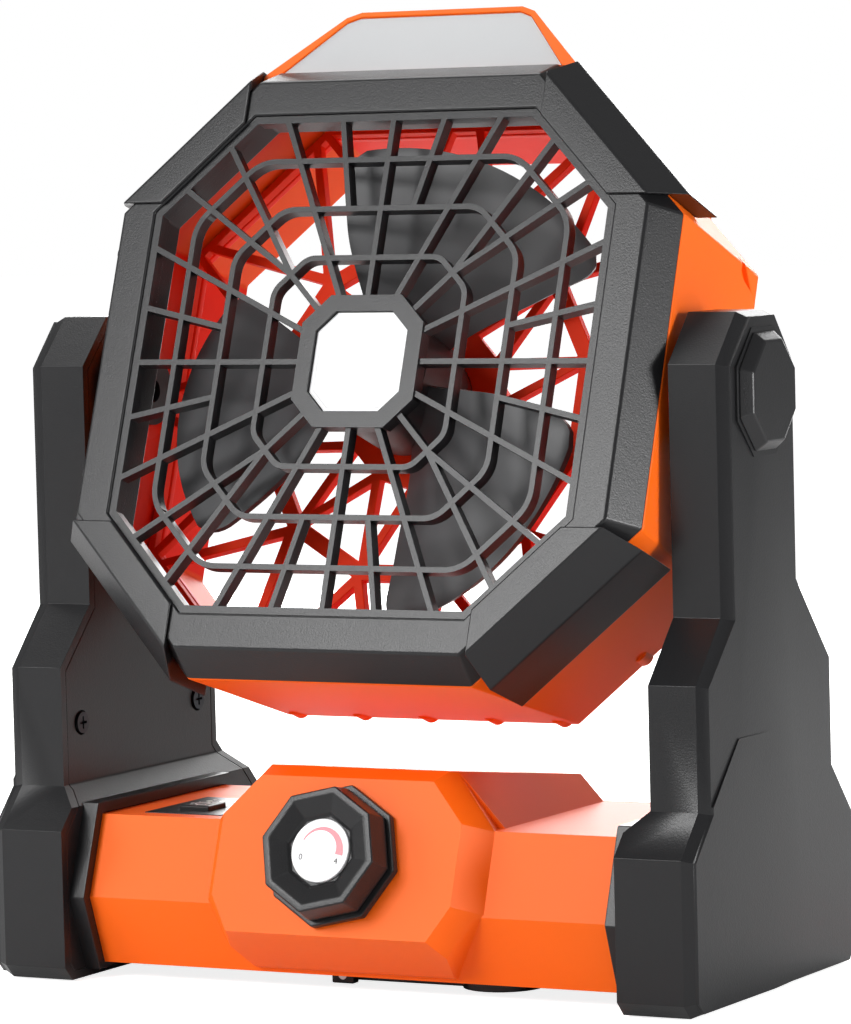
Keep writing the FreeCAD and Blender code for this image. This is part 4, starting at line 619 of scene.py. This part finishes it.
def leaned(place: Vector, lean: float = LEAN) -> Matrix:
    """Finds the way from a piece's own upright frame to its leaned place.

    Args:
        place: where the piece's middle goes.
        lean: how far it leans back, in degrees.

    Returns:
        The turn and the shift in one.
    """
    return Matrix.Translation(place) @ Matrix.Rotation(math.radians(-lean), 4, "X")


OUTWARDS = Matrix.Rotation(math.radians(90.0), 4, "X")


@dataclass
class Stand:
    """The two legs, their inner covers, caps, screws and feet."""

    shop: Workshop
    shell_round: float = 0.7 * MM
    cover_round: float = 0.5 * MM
    cap_round: float = 0.6 * MM
    foot_round: float = 0.5 * MM

    def build(self) -> None:
        """Rounds the legs' mouldings and finishes what they hold."""
        for side in ("left", "right"):
            self.shop.soften(side + "_leg_shell", "stand", Slot.BLACK, self.shell_round, 3)
            self.shop.soften(side + "_leg_cover", "stand", Slot.BLACK, self.cover_round)
            self.shop.soften(side + "_pivot_cap", "stand", Slot.BLACK, self.cap_round, 3)
            self.shop.repaint(side + "_pivot_bush", Slot.NYLON)
        # Painted shade: the leg screws are made near-black for the shade in their recesses.
        self.shop.repaint("leg_screws", self.shop.screws_in_painted_shade)
        self.shop.soften("rubber_feet", "stand", Slot.RUBBER, self.foot_round)


@dataclass
class Base:
    """The box between the legs with its cover, hook, socket and what lies inside."""

    shop: Workshop
    housing_round: float = 1.1 * MM
    cover_round: float = 0.4 * MM
    hook_round: float = 0.5 * MM

    def build(self) -> None:
        """Rounds the housing and finishes the parts in and under it."""
        self.shop.soften("base_housing", "stand", Slot.ORANGE, self.housing_round, 3)
        self.shop.soften("base_bottom_cover", "stand", Slot.BLACK, self.cover_round)
        self.shop.soften("hanging_hook", "hook", Slot.BLACK, self.hook_round)
        for node in ("bottom_cover_screws", "hook_pin", "charging_port"):
            self.shop.repaint(node, Slot.ZINC)
        for node in ("front_battery_cell", "rear_battery_cell"):
            self.shop.repaint(node, Slot.CELL)
        for node in ("control_board", "port_board", "panel_board"):
            self.shop.repaint(node, Slot.BOARD)
        for node in ("battery_holder", "button_switch"):
            self.shop.repaint(node, Slot.BLACK)


@dataclass
class Panel:
    """The dark panel on the left shoulder with its button and charge lights."""

    shop: Workshop
    ring_radius: float = 2.1 * MM
    ring_width: float = 0.35 * MM
    ray_count: int = 8
    ray_length: float = 0.8 * MM
    ray_out: float = 0.9 * MM
    bar_count: int = 4
    bar_width: float = 0.7 * MM
    bar_least: float = 1.2 * MM
    bar_growth: float = 0.7 * MM
    bar_inset: float = 1.5 * MM
    bar_gap: float = 2.2 * MM
    proud: float = 0.08 * MM
    sunk: float = 0.02 * MM
    panel_round: float = 0.25 * MM
    light_round: float = 0.2 * MM
    button_round: float = 0.5 * MM

    def build(self) -> None:
        """Finishes the panel and prints its plain marks."""
        self.shop.soften("control_panel", "stand", Slot.BLACK, self.panel_round)
        self.shop.soften("charge_lights", "stand", Slot.PIPE, self.light_round)
        self.shop.soften("light_button", "button", Slot.BLACK, self.button_round, 3)
        self.mark_button()
        self.mark_gauge()

    def mark_button(self) -> None:
        """Plain ring with short rays, printed on the button's top."""
        low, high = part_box("light_button")
        centre = Vector(((low.x + high.x) / 2, (low.y + high.y) / 2, high.z))
        self.shop.deselect()
        bpy.ops.mesh.primitive_circle_add(vertices=32, radius=self.ring_radius, location=centre,
                                          fill_type="NGON")
        ring = bpy.context.object
        ring.name = "button_print"
        self.shop.edit(ring)
        bpy.ops.mesh.select_all(action="SELECT")
        bpy.ops.mesh.inset(thickness=self.ring_width)
        bpy.ops.mesh.delete(type="FACE")
        self.shop.close()
        rays = []
        for index in range(self.ray_count):
            turn = 2 * math.pi * index / self.ray_count
            out = Vector((math.cos(turn), math.sin(turn), 0.0)) * (self.ring_radius + self.ray_out)
            bpy.ops.mesh.primitive_plane_add(size=1.0, location=centre + out, rotation=(0.0, 0.0, turn))
            ray = bpy.context.object
            ray.scale = (self.ray_length, self.ring_width, 1.0)
            rays.append(ray)
        self.shop.join(ring, rays)
        self.thicken(ring)
        self.shop.hand_over(ring, "button", Slot.WHITE)

    def mark_gauge(self) -> None:
        """Short bars of growing length beside the charge lights."""
        low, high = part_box("charge_lights")
        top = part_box("control_panel")[1].z
        pitch = (high.x - low.x - 2 * self.bar_inset) / (self.bar_count - 1)
        start = (low.y + high.y) / 2 + self.bar_gap
        bars = []
        self.shop.deselect()
        for index in range(self.bar_count):
            length = self.bar_least + self.bar_growth * index
            spot = Vector((low.x + self.bar_inset + pitch * index, start + length / 2, top))
            bpy.ops.mesh.primitive_plane_add(size=1.0, location=spot)
            bpy.context.object.scale = (self.bar_width, length, 1.0)
            bars.append(bpy.context.object)
        gauge = self.shop.join(bars[0], bars[1:])
        gauge.name = "gauge_print"
        self.thicken(gauge)
        self.shop.hand_over(gauge, "stand", Slot.WHITE)

    def thicken(self, piece: bpy.types.Object) -> None:
        """Gives a flat print a thin body that starts just inside what it is printed on."""
        self.shop.take(piece)
        self.shop.settle()
        self.shop.edit(piece)
        self.shop.raise_flat(self.proud)
        bpy.ops.transform.translate(value=(0.0, 0.0, -self.sunk))
        self.shop.close()


@dataclass
class Knob:
    """The eight-sided speed knob with its dished face and printed dial."""

    shop: Workshop
    skirt_half: float = 16.0 * MM
    front_half: float = 15.2 * MM
    back: float = 2.8 * MM
    skirt: float = 1.6 * MM
    front: float = 10.2 * MM
    lip: float = 1.7 * MM
    dish: float = 1.9 * MM
    dial_radius: float = 8.2 * MM
    dial_thickness: float = 1.2 * MM
    dial_rise: float = 0.2 * MM
    dial_room: float = 0.9 * MM
    well_wall: float = 0.5 * MM
    well_depth: float = 0.6 * MM
    cap_round: float = 0.45 * MM
    dial_round: float = 0.3 * MM
    base_round: float = 0.5 * MM
    shown_turn: float = 13.5
    arc_radius: float = 5.6 * MM
    arc_start: float = 155.0
    arc_end: float = -8.0
    arc_thin: float = 0.25 * MM
    arc_thick: float = 1.9 * MM
    arc_growth: float = 1.2
    arc_steps: int = 40
    number_size: float = 2.2 * MM
    proud: float = 0.06 * MM
    digits: Tuple[Tuple[str, float], ...] = (("0", 200.0), ("4", -28.0))
    face: Matrix = field(default_factory=lambda: leaned(joint_place("knob_turn")))

    def build(self) -> None:
        """Builds the knob, its dial and its print."""
        self.cap()
        self.dial()
        self.arc()
        self.numbers()
        self.shop.soften("knob_base", "stand", Slot.BLACK, self.base_round)
        self.shop.repaint("switch_shaft", Slot.ZINC)
        self.shop.repaint("rotary_switch", Slot.BLACK)

    def seat(self, piece: bpy.types.Object, turn: float = 0.0) -> None:
        """From the workbench, where outwards is up, to the leaned face."""
        spin = Matrix.Rotation(math.radians(-turn), 4, "Y")
        self.shop.move(piece, self.face @ spin @ OUTWARDS)

    def cap(self) -> None:
        """Octagonal body, lip and eight-sided dish."""
        corner = 1.0 / math.cos(math.pi / 8)
        self.shop.deselect()
        bpy.ops.mesh.primitive_cylinder_add(vertices=8, radius=self.skirt_half * corner, depth=self.skirt,
                                            location=(0, 0, self.back + self.skirt / 2),
                                            rotation=(0, 0, math.pi / 8))
        knob = bpy.context.object
        knob.name = "speed_knob_moulded"
        self.shop.settle()
        self.shop.edit(knob)
        self.shop.pick_faces(knob, lambda face: face.normal.z > FACING)
        rise = self.front - self.back - self.skirt
        bpy.ops.mesh.extrude_region_move(TRANSFORM_OT_translate={"value": (0, 0, rise)})
        self.shrink(self.front_half / self.skirt_half)
        bpy.ops.mesh.inset(thickness=self.lip)
        bpy.ops.mesh.extrude_region_move(TRANSFORM_OT_translate={"value": (0, 0, -self.dish)})
        self.shrink((self.dial_radius + self.dial_room) / (self.front_half - self.lip))
        bpy.ops.mesh.inset(thickness=self.well_wall, depth=-self.well_depth)
        self.shop.close()
        self.shop.round_edges(knob, self.cap_round, 3, 15.0)
        self.seat(knob, self.shown_turn)
        self.shop.hand_over(knob, "knob", Slot.BLACK, ["speed_knob"])

    @staticmethod
    def shrink(share: float) -> None:
        """Scales the selection about the knob's axis."""
        bpy.ops.transform.resize(value=(share, share, 1.0), center_override=(0.0, 0.0, 0.0))

    def dial(self) -> None:
        """White disc with a softly rounded rim."""
        self.shop.deselect()
        middle = self.dial_top() - self.dial_thickness / 2
        bpy.ops.mesh.primitive_cylinder_add(vertices=64, radius=self.dial_radius, depth=self.dial_thickness,
                                            location=(0, 0, middle))
        disc = bpy.context.object
        disc.name = "knob_dial_face"
        self.shop.settle()
        self.shop.round_edges(disc, self.dial_round, 3, 60.0)
        self.seat(disc)
        self.shop.hand_over(disc, "knob", Slot.WHITE, ["knob_dial"])

    def dial_top(self) -> float:
        """Height of the dial's face above the panel."""
        return self.front - self.dish + self.dial_rise

    def arc(self) -> None:
        """Printed arc that grows from thin to thick."""
        strip = self.spun_strip()
        self.widen(strip)
        self.shop.raise_flat(self.proud)
        self.shop.close()
        self.seat(strip)
        self.shop.hand_over(strip, "knob", Slot.WHITE)
        strip.data.materials[0] = RED_PRINT.material()

    def spun_strip(self) -> bpy.types.Object:
        """Flat strip along the arc, spun from one short edge and left open."""
        self.shop.deselect()
        bpy.ops.mesh.primitive_plane_add(size=1.0)
        strip = bpy.context.object
        strip.name = "speed_arc_print"
        strip.scale = (self.arc_thin, self.arc_thin, 1.0)
        strip.location = (self.arc_radius, 0.0, self.dial_top())
        self.shop.settle()
        self.shop.edit(strip, "EDGE")
        mesh = bmesh.from_edit_mesh(strip.data)
        for vert in [vert for vert in mesh.verts if vert.co.y < 0]:
            mesh.verts.remove(vert)
        self.shop.pick_edges(strip, lambda edge: True)
        sweep = math.radians(self.arc_start - self.arc_end)
        bpy.ops.mesh.spin(steps=self.arc_steps, angle=sweep, center=(0.0, 0.0, self.dial_top()),
                          axis=(0.0, 0.0, 1.0))
        return strip

    def widen(self, strip: bpy.types.Object) -> None:
        """Moves the open strip's points so that it is thick at its start and thin at its end."""
        mesh = bmesh.from_edit_mesh(strip.data)
        sweep = math.radians(self.arc_start - self.arc_end)
        if min(math.atan2(vert.co.y, vert.co.x) for vert in mesh.verts) < math.radians(-20.0):
            for vert in mesh.verts:
                vert.co.y = -vert.co.y
        for vert in mesh.verts:
            turn = math.atan2(vert.co.y, vert.co.x)
            share = max(0.0, min(1.0, turn / sweep))
            half = (self.arc_thick * (1 - share) ** self.arc_growth + self.arc_thin) / 2
            side = 1.0 if math.hypot(vert.co.x, vert.co.y) > self.arc_radius else -1.0
            radius = self.arc_radius + side * half
            turn += math.radians(self.arc_end)
            vert.co.x = radius * math.cos(turn)
            vert.co.y = radius * math.sin(turn)
        bmesh.update_edit_mesh(strip.data)

    def numbers(self) -> None:
        """Plain numbers at the two ends of the arc."""
        for text, turn in self.digits:
            self.shop.deselect()
            spot = Vector((math.cos(math.radians(turn)), math.sin(math.radians(turn)), 0.0)) * self.arc_radius
            bpy.ops.object.text_add(location=(spot.x, spot.y, self.dial_top()))
            label = bpy.context.object
            label.data.body = text
            label.data.size = self.number_size
            label.data.align_x = "CENTER"
            label.data.align_y = "CENTER"
            label.data.extrude = self.proud
            bpy.ops.object.convert(target="MESH")
            label = bpy.context.object
            label.name = "dial_number_" + text
            self.seat(label)
            self.shop.hand_over(label, "knob", Slot.BLACK)


@dataclass
class Head:
    """The head's shells, guards, grilles, motor and hinge parts."""

    shop: Workshop
    badge_half: float = 13.2 * MM
    badge_cut: float = 5.15 * MM
    badge_thickness: float = 1.2 * MM
    badge_front: float = -25.1 * MM
    badge_rim: float = 1.0 * MM
    badge_step: float = 0.3 * MM
    badge_sink: float = 0.25 * MM
    badge_round: float = 0.15 * MM
    bezel_round: float = 0.6 * MM
    shell_round: float = 0.9 * MM
    guard_round: float = 0.7 * MM
    grille_round: float = 0.5 * MM
    lattice_round: float = 0.35 * MM
    motor_round: float = 0.8 * MM
    place: Matrix = field(default_factory=lambda: leaned(joint_place("head_tilt")))

    def build(self) -> None:
        """Rounds the shells and grilles and finishes the rest."""
        self.shop.soften("front_bezel", "head", Slot.BLACK, self.bezel_round, 3)
        shell = self.shop.soften("rear_housing", "head", Slot.ORANGE, self.shell_round, 3)
        # The shell's material paints a deeper red on the walls of its room as bounce light.
        orange = asdict(FINISHES[Slot.ORANGE])
        orange["name"] = "head_shell_painted_bounce"
        shell.data.materials[0] = ShellPlasticPaintedBounce(**orange, axis=tuple(joint_place("head_tilt"))).material()
        for corner in ("top_left", "top_right", "bottom_left", "bottom_right"):
            self.shop.soften(corner + "_corner_guard", "head", Slot.BLACK, self.guard_round, 3)
        self.shop.soften("front_grille", "head", Slot.BLACK, self.grille_round, 3)
        self.shop.soften("rear_grille", "head", Slot.RED, self.lattice_round, 1)
        self.badge()
        self.shop.soften("fan_motor", "head", Slot.MOTOR, self.motor_round)
        for node in ("motor_screws", "housing_screws", "left_pivot_nut", "right_pivot_nut"):
            self.shop.repaint(node, Slot.ZINC)
        for side in ("left", "right"):
            self.shop.repaint(side + "_pivot_shaft", self.shop.dark_nylon)
            self.shop.repaint(side + "_friction_washer", Slot.RUBBER)

    def badge(self) -> None:
        """Bare white plate with a narrow raised rim in the middle of the grille."""
        self.shop.deselect()
        bpy.ops.mesh.primitive_cube_add(size=1.0)
        plate = bpy.context.object
        plate.name = "grille_badge_plate"
        plate.scale = (2 * self.badge_half, 2 * self.badge_half, self.badge_thickness)
        self.shop.settle()
        self.shop.edit(plate, "EDGE")
        tall = 0.5 * self.badge_thickness
        self.shop.pick_edges(plate, lambda edge: abs(edge.verts[0].co.z - edge.verts[1].co.z) > tall)
        bpy.ops.mesh.bevel(offset=self.badge_cut, offset_type="OFFSET", segments=1, affect="EDGES")
        self.shop.edit(plate)
        self.shop.pick_faces(plate, lambda face: face.normal.z > FACING)
        bpy.ops.mesh.inset(thickness=self.badge_rim)
        bpy.ops.mesh.inset(thickness=self.badge_step, depth=-self.badge_sink)
        self.shop.close()
        self.shop.round_edges(plate, self.badge_round, 2, 15.0)
        shift = Matrix.Translation((0.0, self.badge_front + self.badge_thickness / 2, 0.0))
        self.shop.move(plate, self.place @ shift @ OUTWARDS)
        self.shop.hand_over(plate, "head", Slot.WHITE, ["grille_badge"])


@dataclass
class Rotor:
    """Three wide cupped blades on a hub that covers the motor."""

    shop: Workshop
    blade_count: int = 3
    start_turn: float = 12.0
    root_radius: float = 14.5 * MM
    tip_radius: float = 61.6 * MM
    middle: float = -6.5 * MM
    sweep_depth: float = 8.8 * MM
    thickness: float = 1.5 * MM
    hub_radius: float = 16.0 * MM
    hub_front: float = -18.5 * MM
    hub_rear: float = 5.0 * MM
    hub_rim: float = 6.0 * MM
    hub_ring: float = 0.8 * MM
    hub_wall: float = 1.4 * MM
    hub_hollow: float = 4.5 * MM
    hub_round: float = 1.2 * MM
    along: int = 28
    across: int = 24
    root_half: float = 30.0
    full_half: float = 37.5
    round_from: float = 0.84
    round_share: float = 0.15
    full_from: float = 0.6
    tip_lean: float = 8.5
    cup_depth: float = 1.6 * MM
    root_sweep: float = 0.92
    place: Matrix = field(default_factory=lambda: leaned(joint_place("fan_spin")))

    def build(self) -> None:
        """Builds the hub and joins the blades to it as one moulding."""
        hub = self.hub()
        blades = [self.blade(360.0 * k / self.blade_count + self.start_turn) for k in range(self.blade_count)]
        rotor = self.shop.join(hub, blades)
        rotor.name = "fan_rotor_moulded"
        self.shop.move(rotor, self.place)
        self.shop.hand_over(rotor, "rotor", Slot.SMOKE, ["fan_rotor"], 40.0)
        self.shop.repaint("motor_shaft", Slot.ZINC)

    def hub(self) -> bpy.types.Object:
        """Cup with a rounded front and a shallow ring round its middle."""
        self.shop.deselect()
        depth = self.hub_rear - self.hub_front
        bpy.ops.mesh.primitive_cylinder_add(vertices=64, radius=self.hub_radius, depth=depth,
                                            location=(0, (self.hub_rear + self.hub_front) / 2, 0),
                                            rotation=(math.radians(90), 0, 0))
        hub = bpy.context.object
        self.shop.settle()
        self.shop.edit(hub)
        self.shop.pick_faces(hub, lambda face: face.normal.y < -FACING)
        bpy.ops.mesh.inset(thickness=self.hub_rim)
        bpy.ops.mesh.inset(thickness=self.hub_ring, depth=-self.hub_ring)
        self.shop.pick_faces(hub, lambda face: face.normal.y > FACING)
        bpy.ops.mesh.inset(thickness=self.hub_wall)
        bpy.ops.mesh.extrude_region_move(TRANSFORM_OT_translate={"value": (0, -self.hub_hollow, 0)})
        self.shop.close()
        self.shop.round_edges(hub, self.hub_round, 4, 60.0)
        return hub

    def blade(self, turn: float) -> bpy.types.Object:
        """One blade, shaped from a grid by moving its points, then thickened and smoothed."""
        self.shop.deselect()
        bpy.ops.mesh.primitive_grid_add(x_subdivisions=self.across, y_subdivisions=self.along, size=2.0)
        blade = bpy.context.object
        for vert in blade.data.vertices:
            vert.co = self.blade_point(vert.co.x, (vert.co.y + 1) / 2)
        wall = blade.modifiers.new("wall", "SOLIDIFY")
        wall.thickness = self.thickness
        wall.offset = 0.0
        self.shop.take(blade)
        bpy.ops.object.modifier_apply(modifier=wall.name)
        self.shop.edit(blade)
        self.shop.turn_outwards()
        self.shop.close()
        blade.data.transform(Matrix.Rotation(math.radians(turn), 4, "Y"))
        return blade

    def blade_point(self, side: float, share: float) -> Vector:
        """Point of the blade's middle surface.

        Args:
            side: from -1 at the leading edge to 1 at the trailing edge.
            share: from 0 at the root to 1 at the tip.

        Returns:
            The point, with the blade's middle straight up from the hub.
        """
        radius = self.root_radius + share * (self.tip_radius - self.root_radius)
        spread = math.sin(min(1.0, share / self.full_from) * math.pi / 2)
        half = math.radians(self.root_half + (self.full_half - self.root_half) * spread)
        corner = max(0.0, (share - self.round_from) / (1.0 - self.round_from))
        half *= 1.0 - self.round_share * (1.0 - math.sqrt(max(0.0, 1.0 - corner * corner)))
        lean = math.radians(self.tip_lean * share)
        turn = half * side + lean
        cup = self.cup_depth * (1.0 - side * side)
        deep = self.sweep_depth * side * (self.root_sweep + (1.0 - self.root_sweep) * share)
        return Vector((radius * math.sin(turn), self.middle + deep - cup, radius * math.cos(turn)))


@dataclass
class Lamp:
    """The lamp on top: housing, frosted lens and its board."""

    shop: Workshop
    housing_round: float = 0.5 * MM
    lens_round: float = 0.45 * MM

    def build(self) -> None:
        """Rounds the housing and lens and finishes the board."""
        self.shop.soften("lamp_housing", "head", Slot.ORANGE, self.housing_round, 3)
        self.shop.soften("lamp_lens", "head", Slot.LENS, self.lens_round, 3)
        self.shop.repaint("lamp_board", Slot.BOARD)


@dataclass
class Studio:
    """White floor, soft lamps and the camera."""

    eye_from_axis: Tuple[float, float, float] = (0.6302, -1.1631, 0.2126)
    yaw: float = 28.24
    pitch: float = 3.99
    roll: float = -1.44
    lens: float = 180.4
    sensor: float = 36.0
    sight: float = 60.0
    floor_size: float = 14.0
    floor_glow: float = 0.84
    sky_light: float = 0.25
    lamps: Tuple[Tuple[str, Colour, Colour, float, float], ...] = (
        ("front_left_soft", (-0.33, -0.78, 0.56), (0.0, 0.0, 0.12), 0.35, 6.0),
        ("left_soft", (-1.0, -0.75, 0.5), (0.0, 0.0, 0.18), 0.5, 3.5),
        ("overhead_soft", (-0.5, 0.35, 1.2), (0.0, 0.0, 0.1), 0.7, 6.5),
        ("right_soft", (1.1, -0.1, 0.2), (0.0, 0.0, 0.13), 0.3, 8.0),
        ("rear_soft", (-0.35, 1.05, 0.35), (0.0, 0.0, 0.16), 0.7, 10.0),
    )

    def build(self) -> None:
        """Sets up the picture."""
        self.floor()
        self.world()
        for name, place, aim, size, power in self.lamps:
            self.lamp(name, Vector(place), Vector(aim), size, power)
        self.camera()
        bpy.context.scene.view_settings.view_transform = "Standard"

    def floor(self) -> None:
        """Wide white sheet that keeps the object's shadow."""
        Workshop.deselect()
        bpy.ops.mesh.primitive_plane_add(size=self.floor_size)
        floor = bpy.context.object
        floor.name = "studio_floor"
        shader = Shader("studio_white", Base_Color=(0.9, 0.9, 0.9, 1.0), Roughness=0.9,
                        Specular_IOR_Level=0.1)
        seen = shader.node("ShaderNodeLightPath")
        glow = shader.node("ShaderNodeEmission",
                           inputs={"Color": PURE_WHITE, "Strength": seen * self.floor_glow})
        both = shader.node("ShaderNodeAddShader", inputs={0: glow})
        shader.tree.links.new(shader.surface.outputs[0], both.socket.node.inputs[1])
        output = [node for node in shader.tree.nodes if node.bl_idname == "ShaderNodeOutputMaterial"][0]
        shader.tree.links.new(both.socket, output.inputs["Surface"])
        floor.data.materials.append(shader.material)

    def world(self) -> None:
        """White for the camera, softer for the light on the object."""
        world = bpy.data.worlds.new("studio_world")
        world.use_nodes = True
        tree = world.node_tree
        tree.nodes.clear()
        path = tree.nodes.new("ShaderNodeLightPath")
        lift = tree.nodes.new("ShaderNodeMapRange")
        tree.links.new(path.outputs["Is Camera Ray"], lift.inputs["Value"])
        lift.inputs["To Min"].default_value = self.sky_light
        lift.inputs["To Max"].default_value = 1.0
        back = tree.nodes.new("ShaderNodeBackground")
        back.inputs["Color"].default_value = PURE_WHITE
        tree.links.new(lift.outputs["Result"], back.inputs["Strength"])
        output = tree.nodes.new("ShaderNodeOutputWorld")
        tree.links.new(back.outputs[0], output.inputs["Surface"])
        bpy.context.scene.world = world

    @staticmethod
    def lamp(name: str, place: Vector, aim: Vector, size: float, power: float) -> None:
        """Square soft lamp that looks at a point."""
        light = bpy.data.lights.new(name, "AREA")
        light.size = size
        light.energy = power
        holder = bpy.data.objects.new(name, light)
        holder.location = place
        holder.rotation_euler = (aim - place).to_track_quat("-Z", "Y").to_euler()
        bpy.context.scene.collection.objects.link(holder)

    def camera(self) -> None:
        """Camera at the photograph's place."""
        yaw, pitch, roll = (math.radians(value) for value in (self.yaw, self.pitch, self.roll))
        back = Vector((math.sin(yaw) * math.cos(pitch), -math.cos(yaw) * math.cos(pitch), math.sin(pitch)))
        right = Vector((math.cos(yaw), math.sin(yaw), 0.0))
        up = back.cross(right)
        level = right * math.cos(roll) + up * math.sin(roll)
        raised = up * math.cos(roll) - right * math.sin(roll)
        data = bpy.data.cameras.new("photo_camera")
        data.lens = self.lens
        data.sensor_width = self.sensor
        data.clip_end = self.sight
        camera = bpy.data.objects.new("photo_camera", data)
        turn = Matrix((level, raised, back)).transposed().to_4x4()
        axis = joint_place("head_tilt")
        eye = Vector(self.eye_from_axis) + Vector((0.0, axis.y, 0.0))
        camera.matrix_world = Matrix.Translation(eye) @ turn
        bpy.context.scene.collection.objects.link(camera)
        bpy.context.scene.camera = camera


def main() -> None:
    """Builds the fan in order and reports each sub-assembly."""
    logging.basicConfig(level=logging.INFO, format="%(name)s %(message)s")
    shop = Workshop()
    for build in (Stand, Base, Panel, Knob, Head, Rotor, Lamp):
        build(shop).build()
        log.info("%s is done", build.__name__)
    Studio().build()


if __name__ == "__main__":
    main()
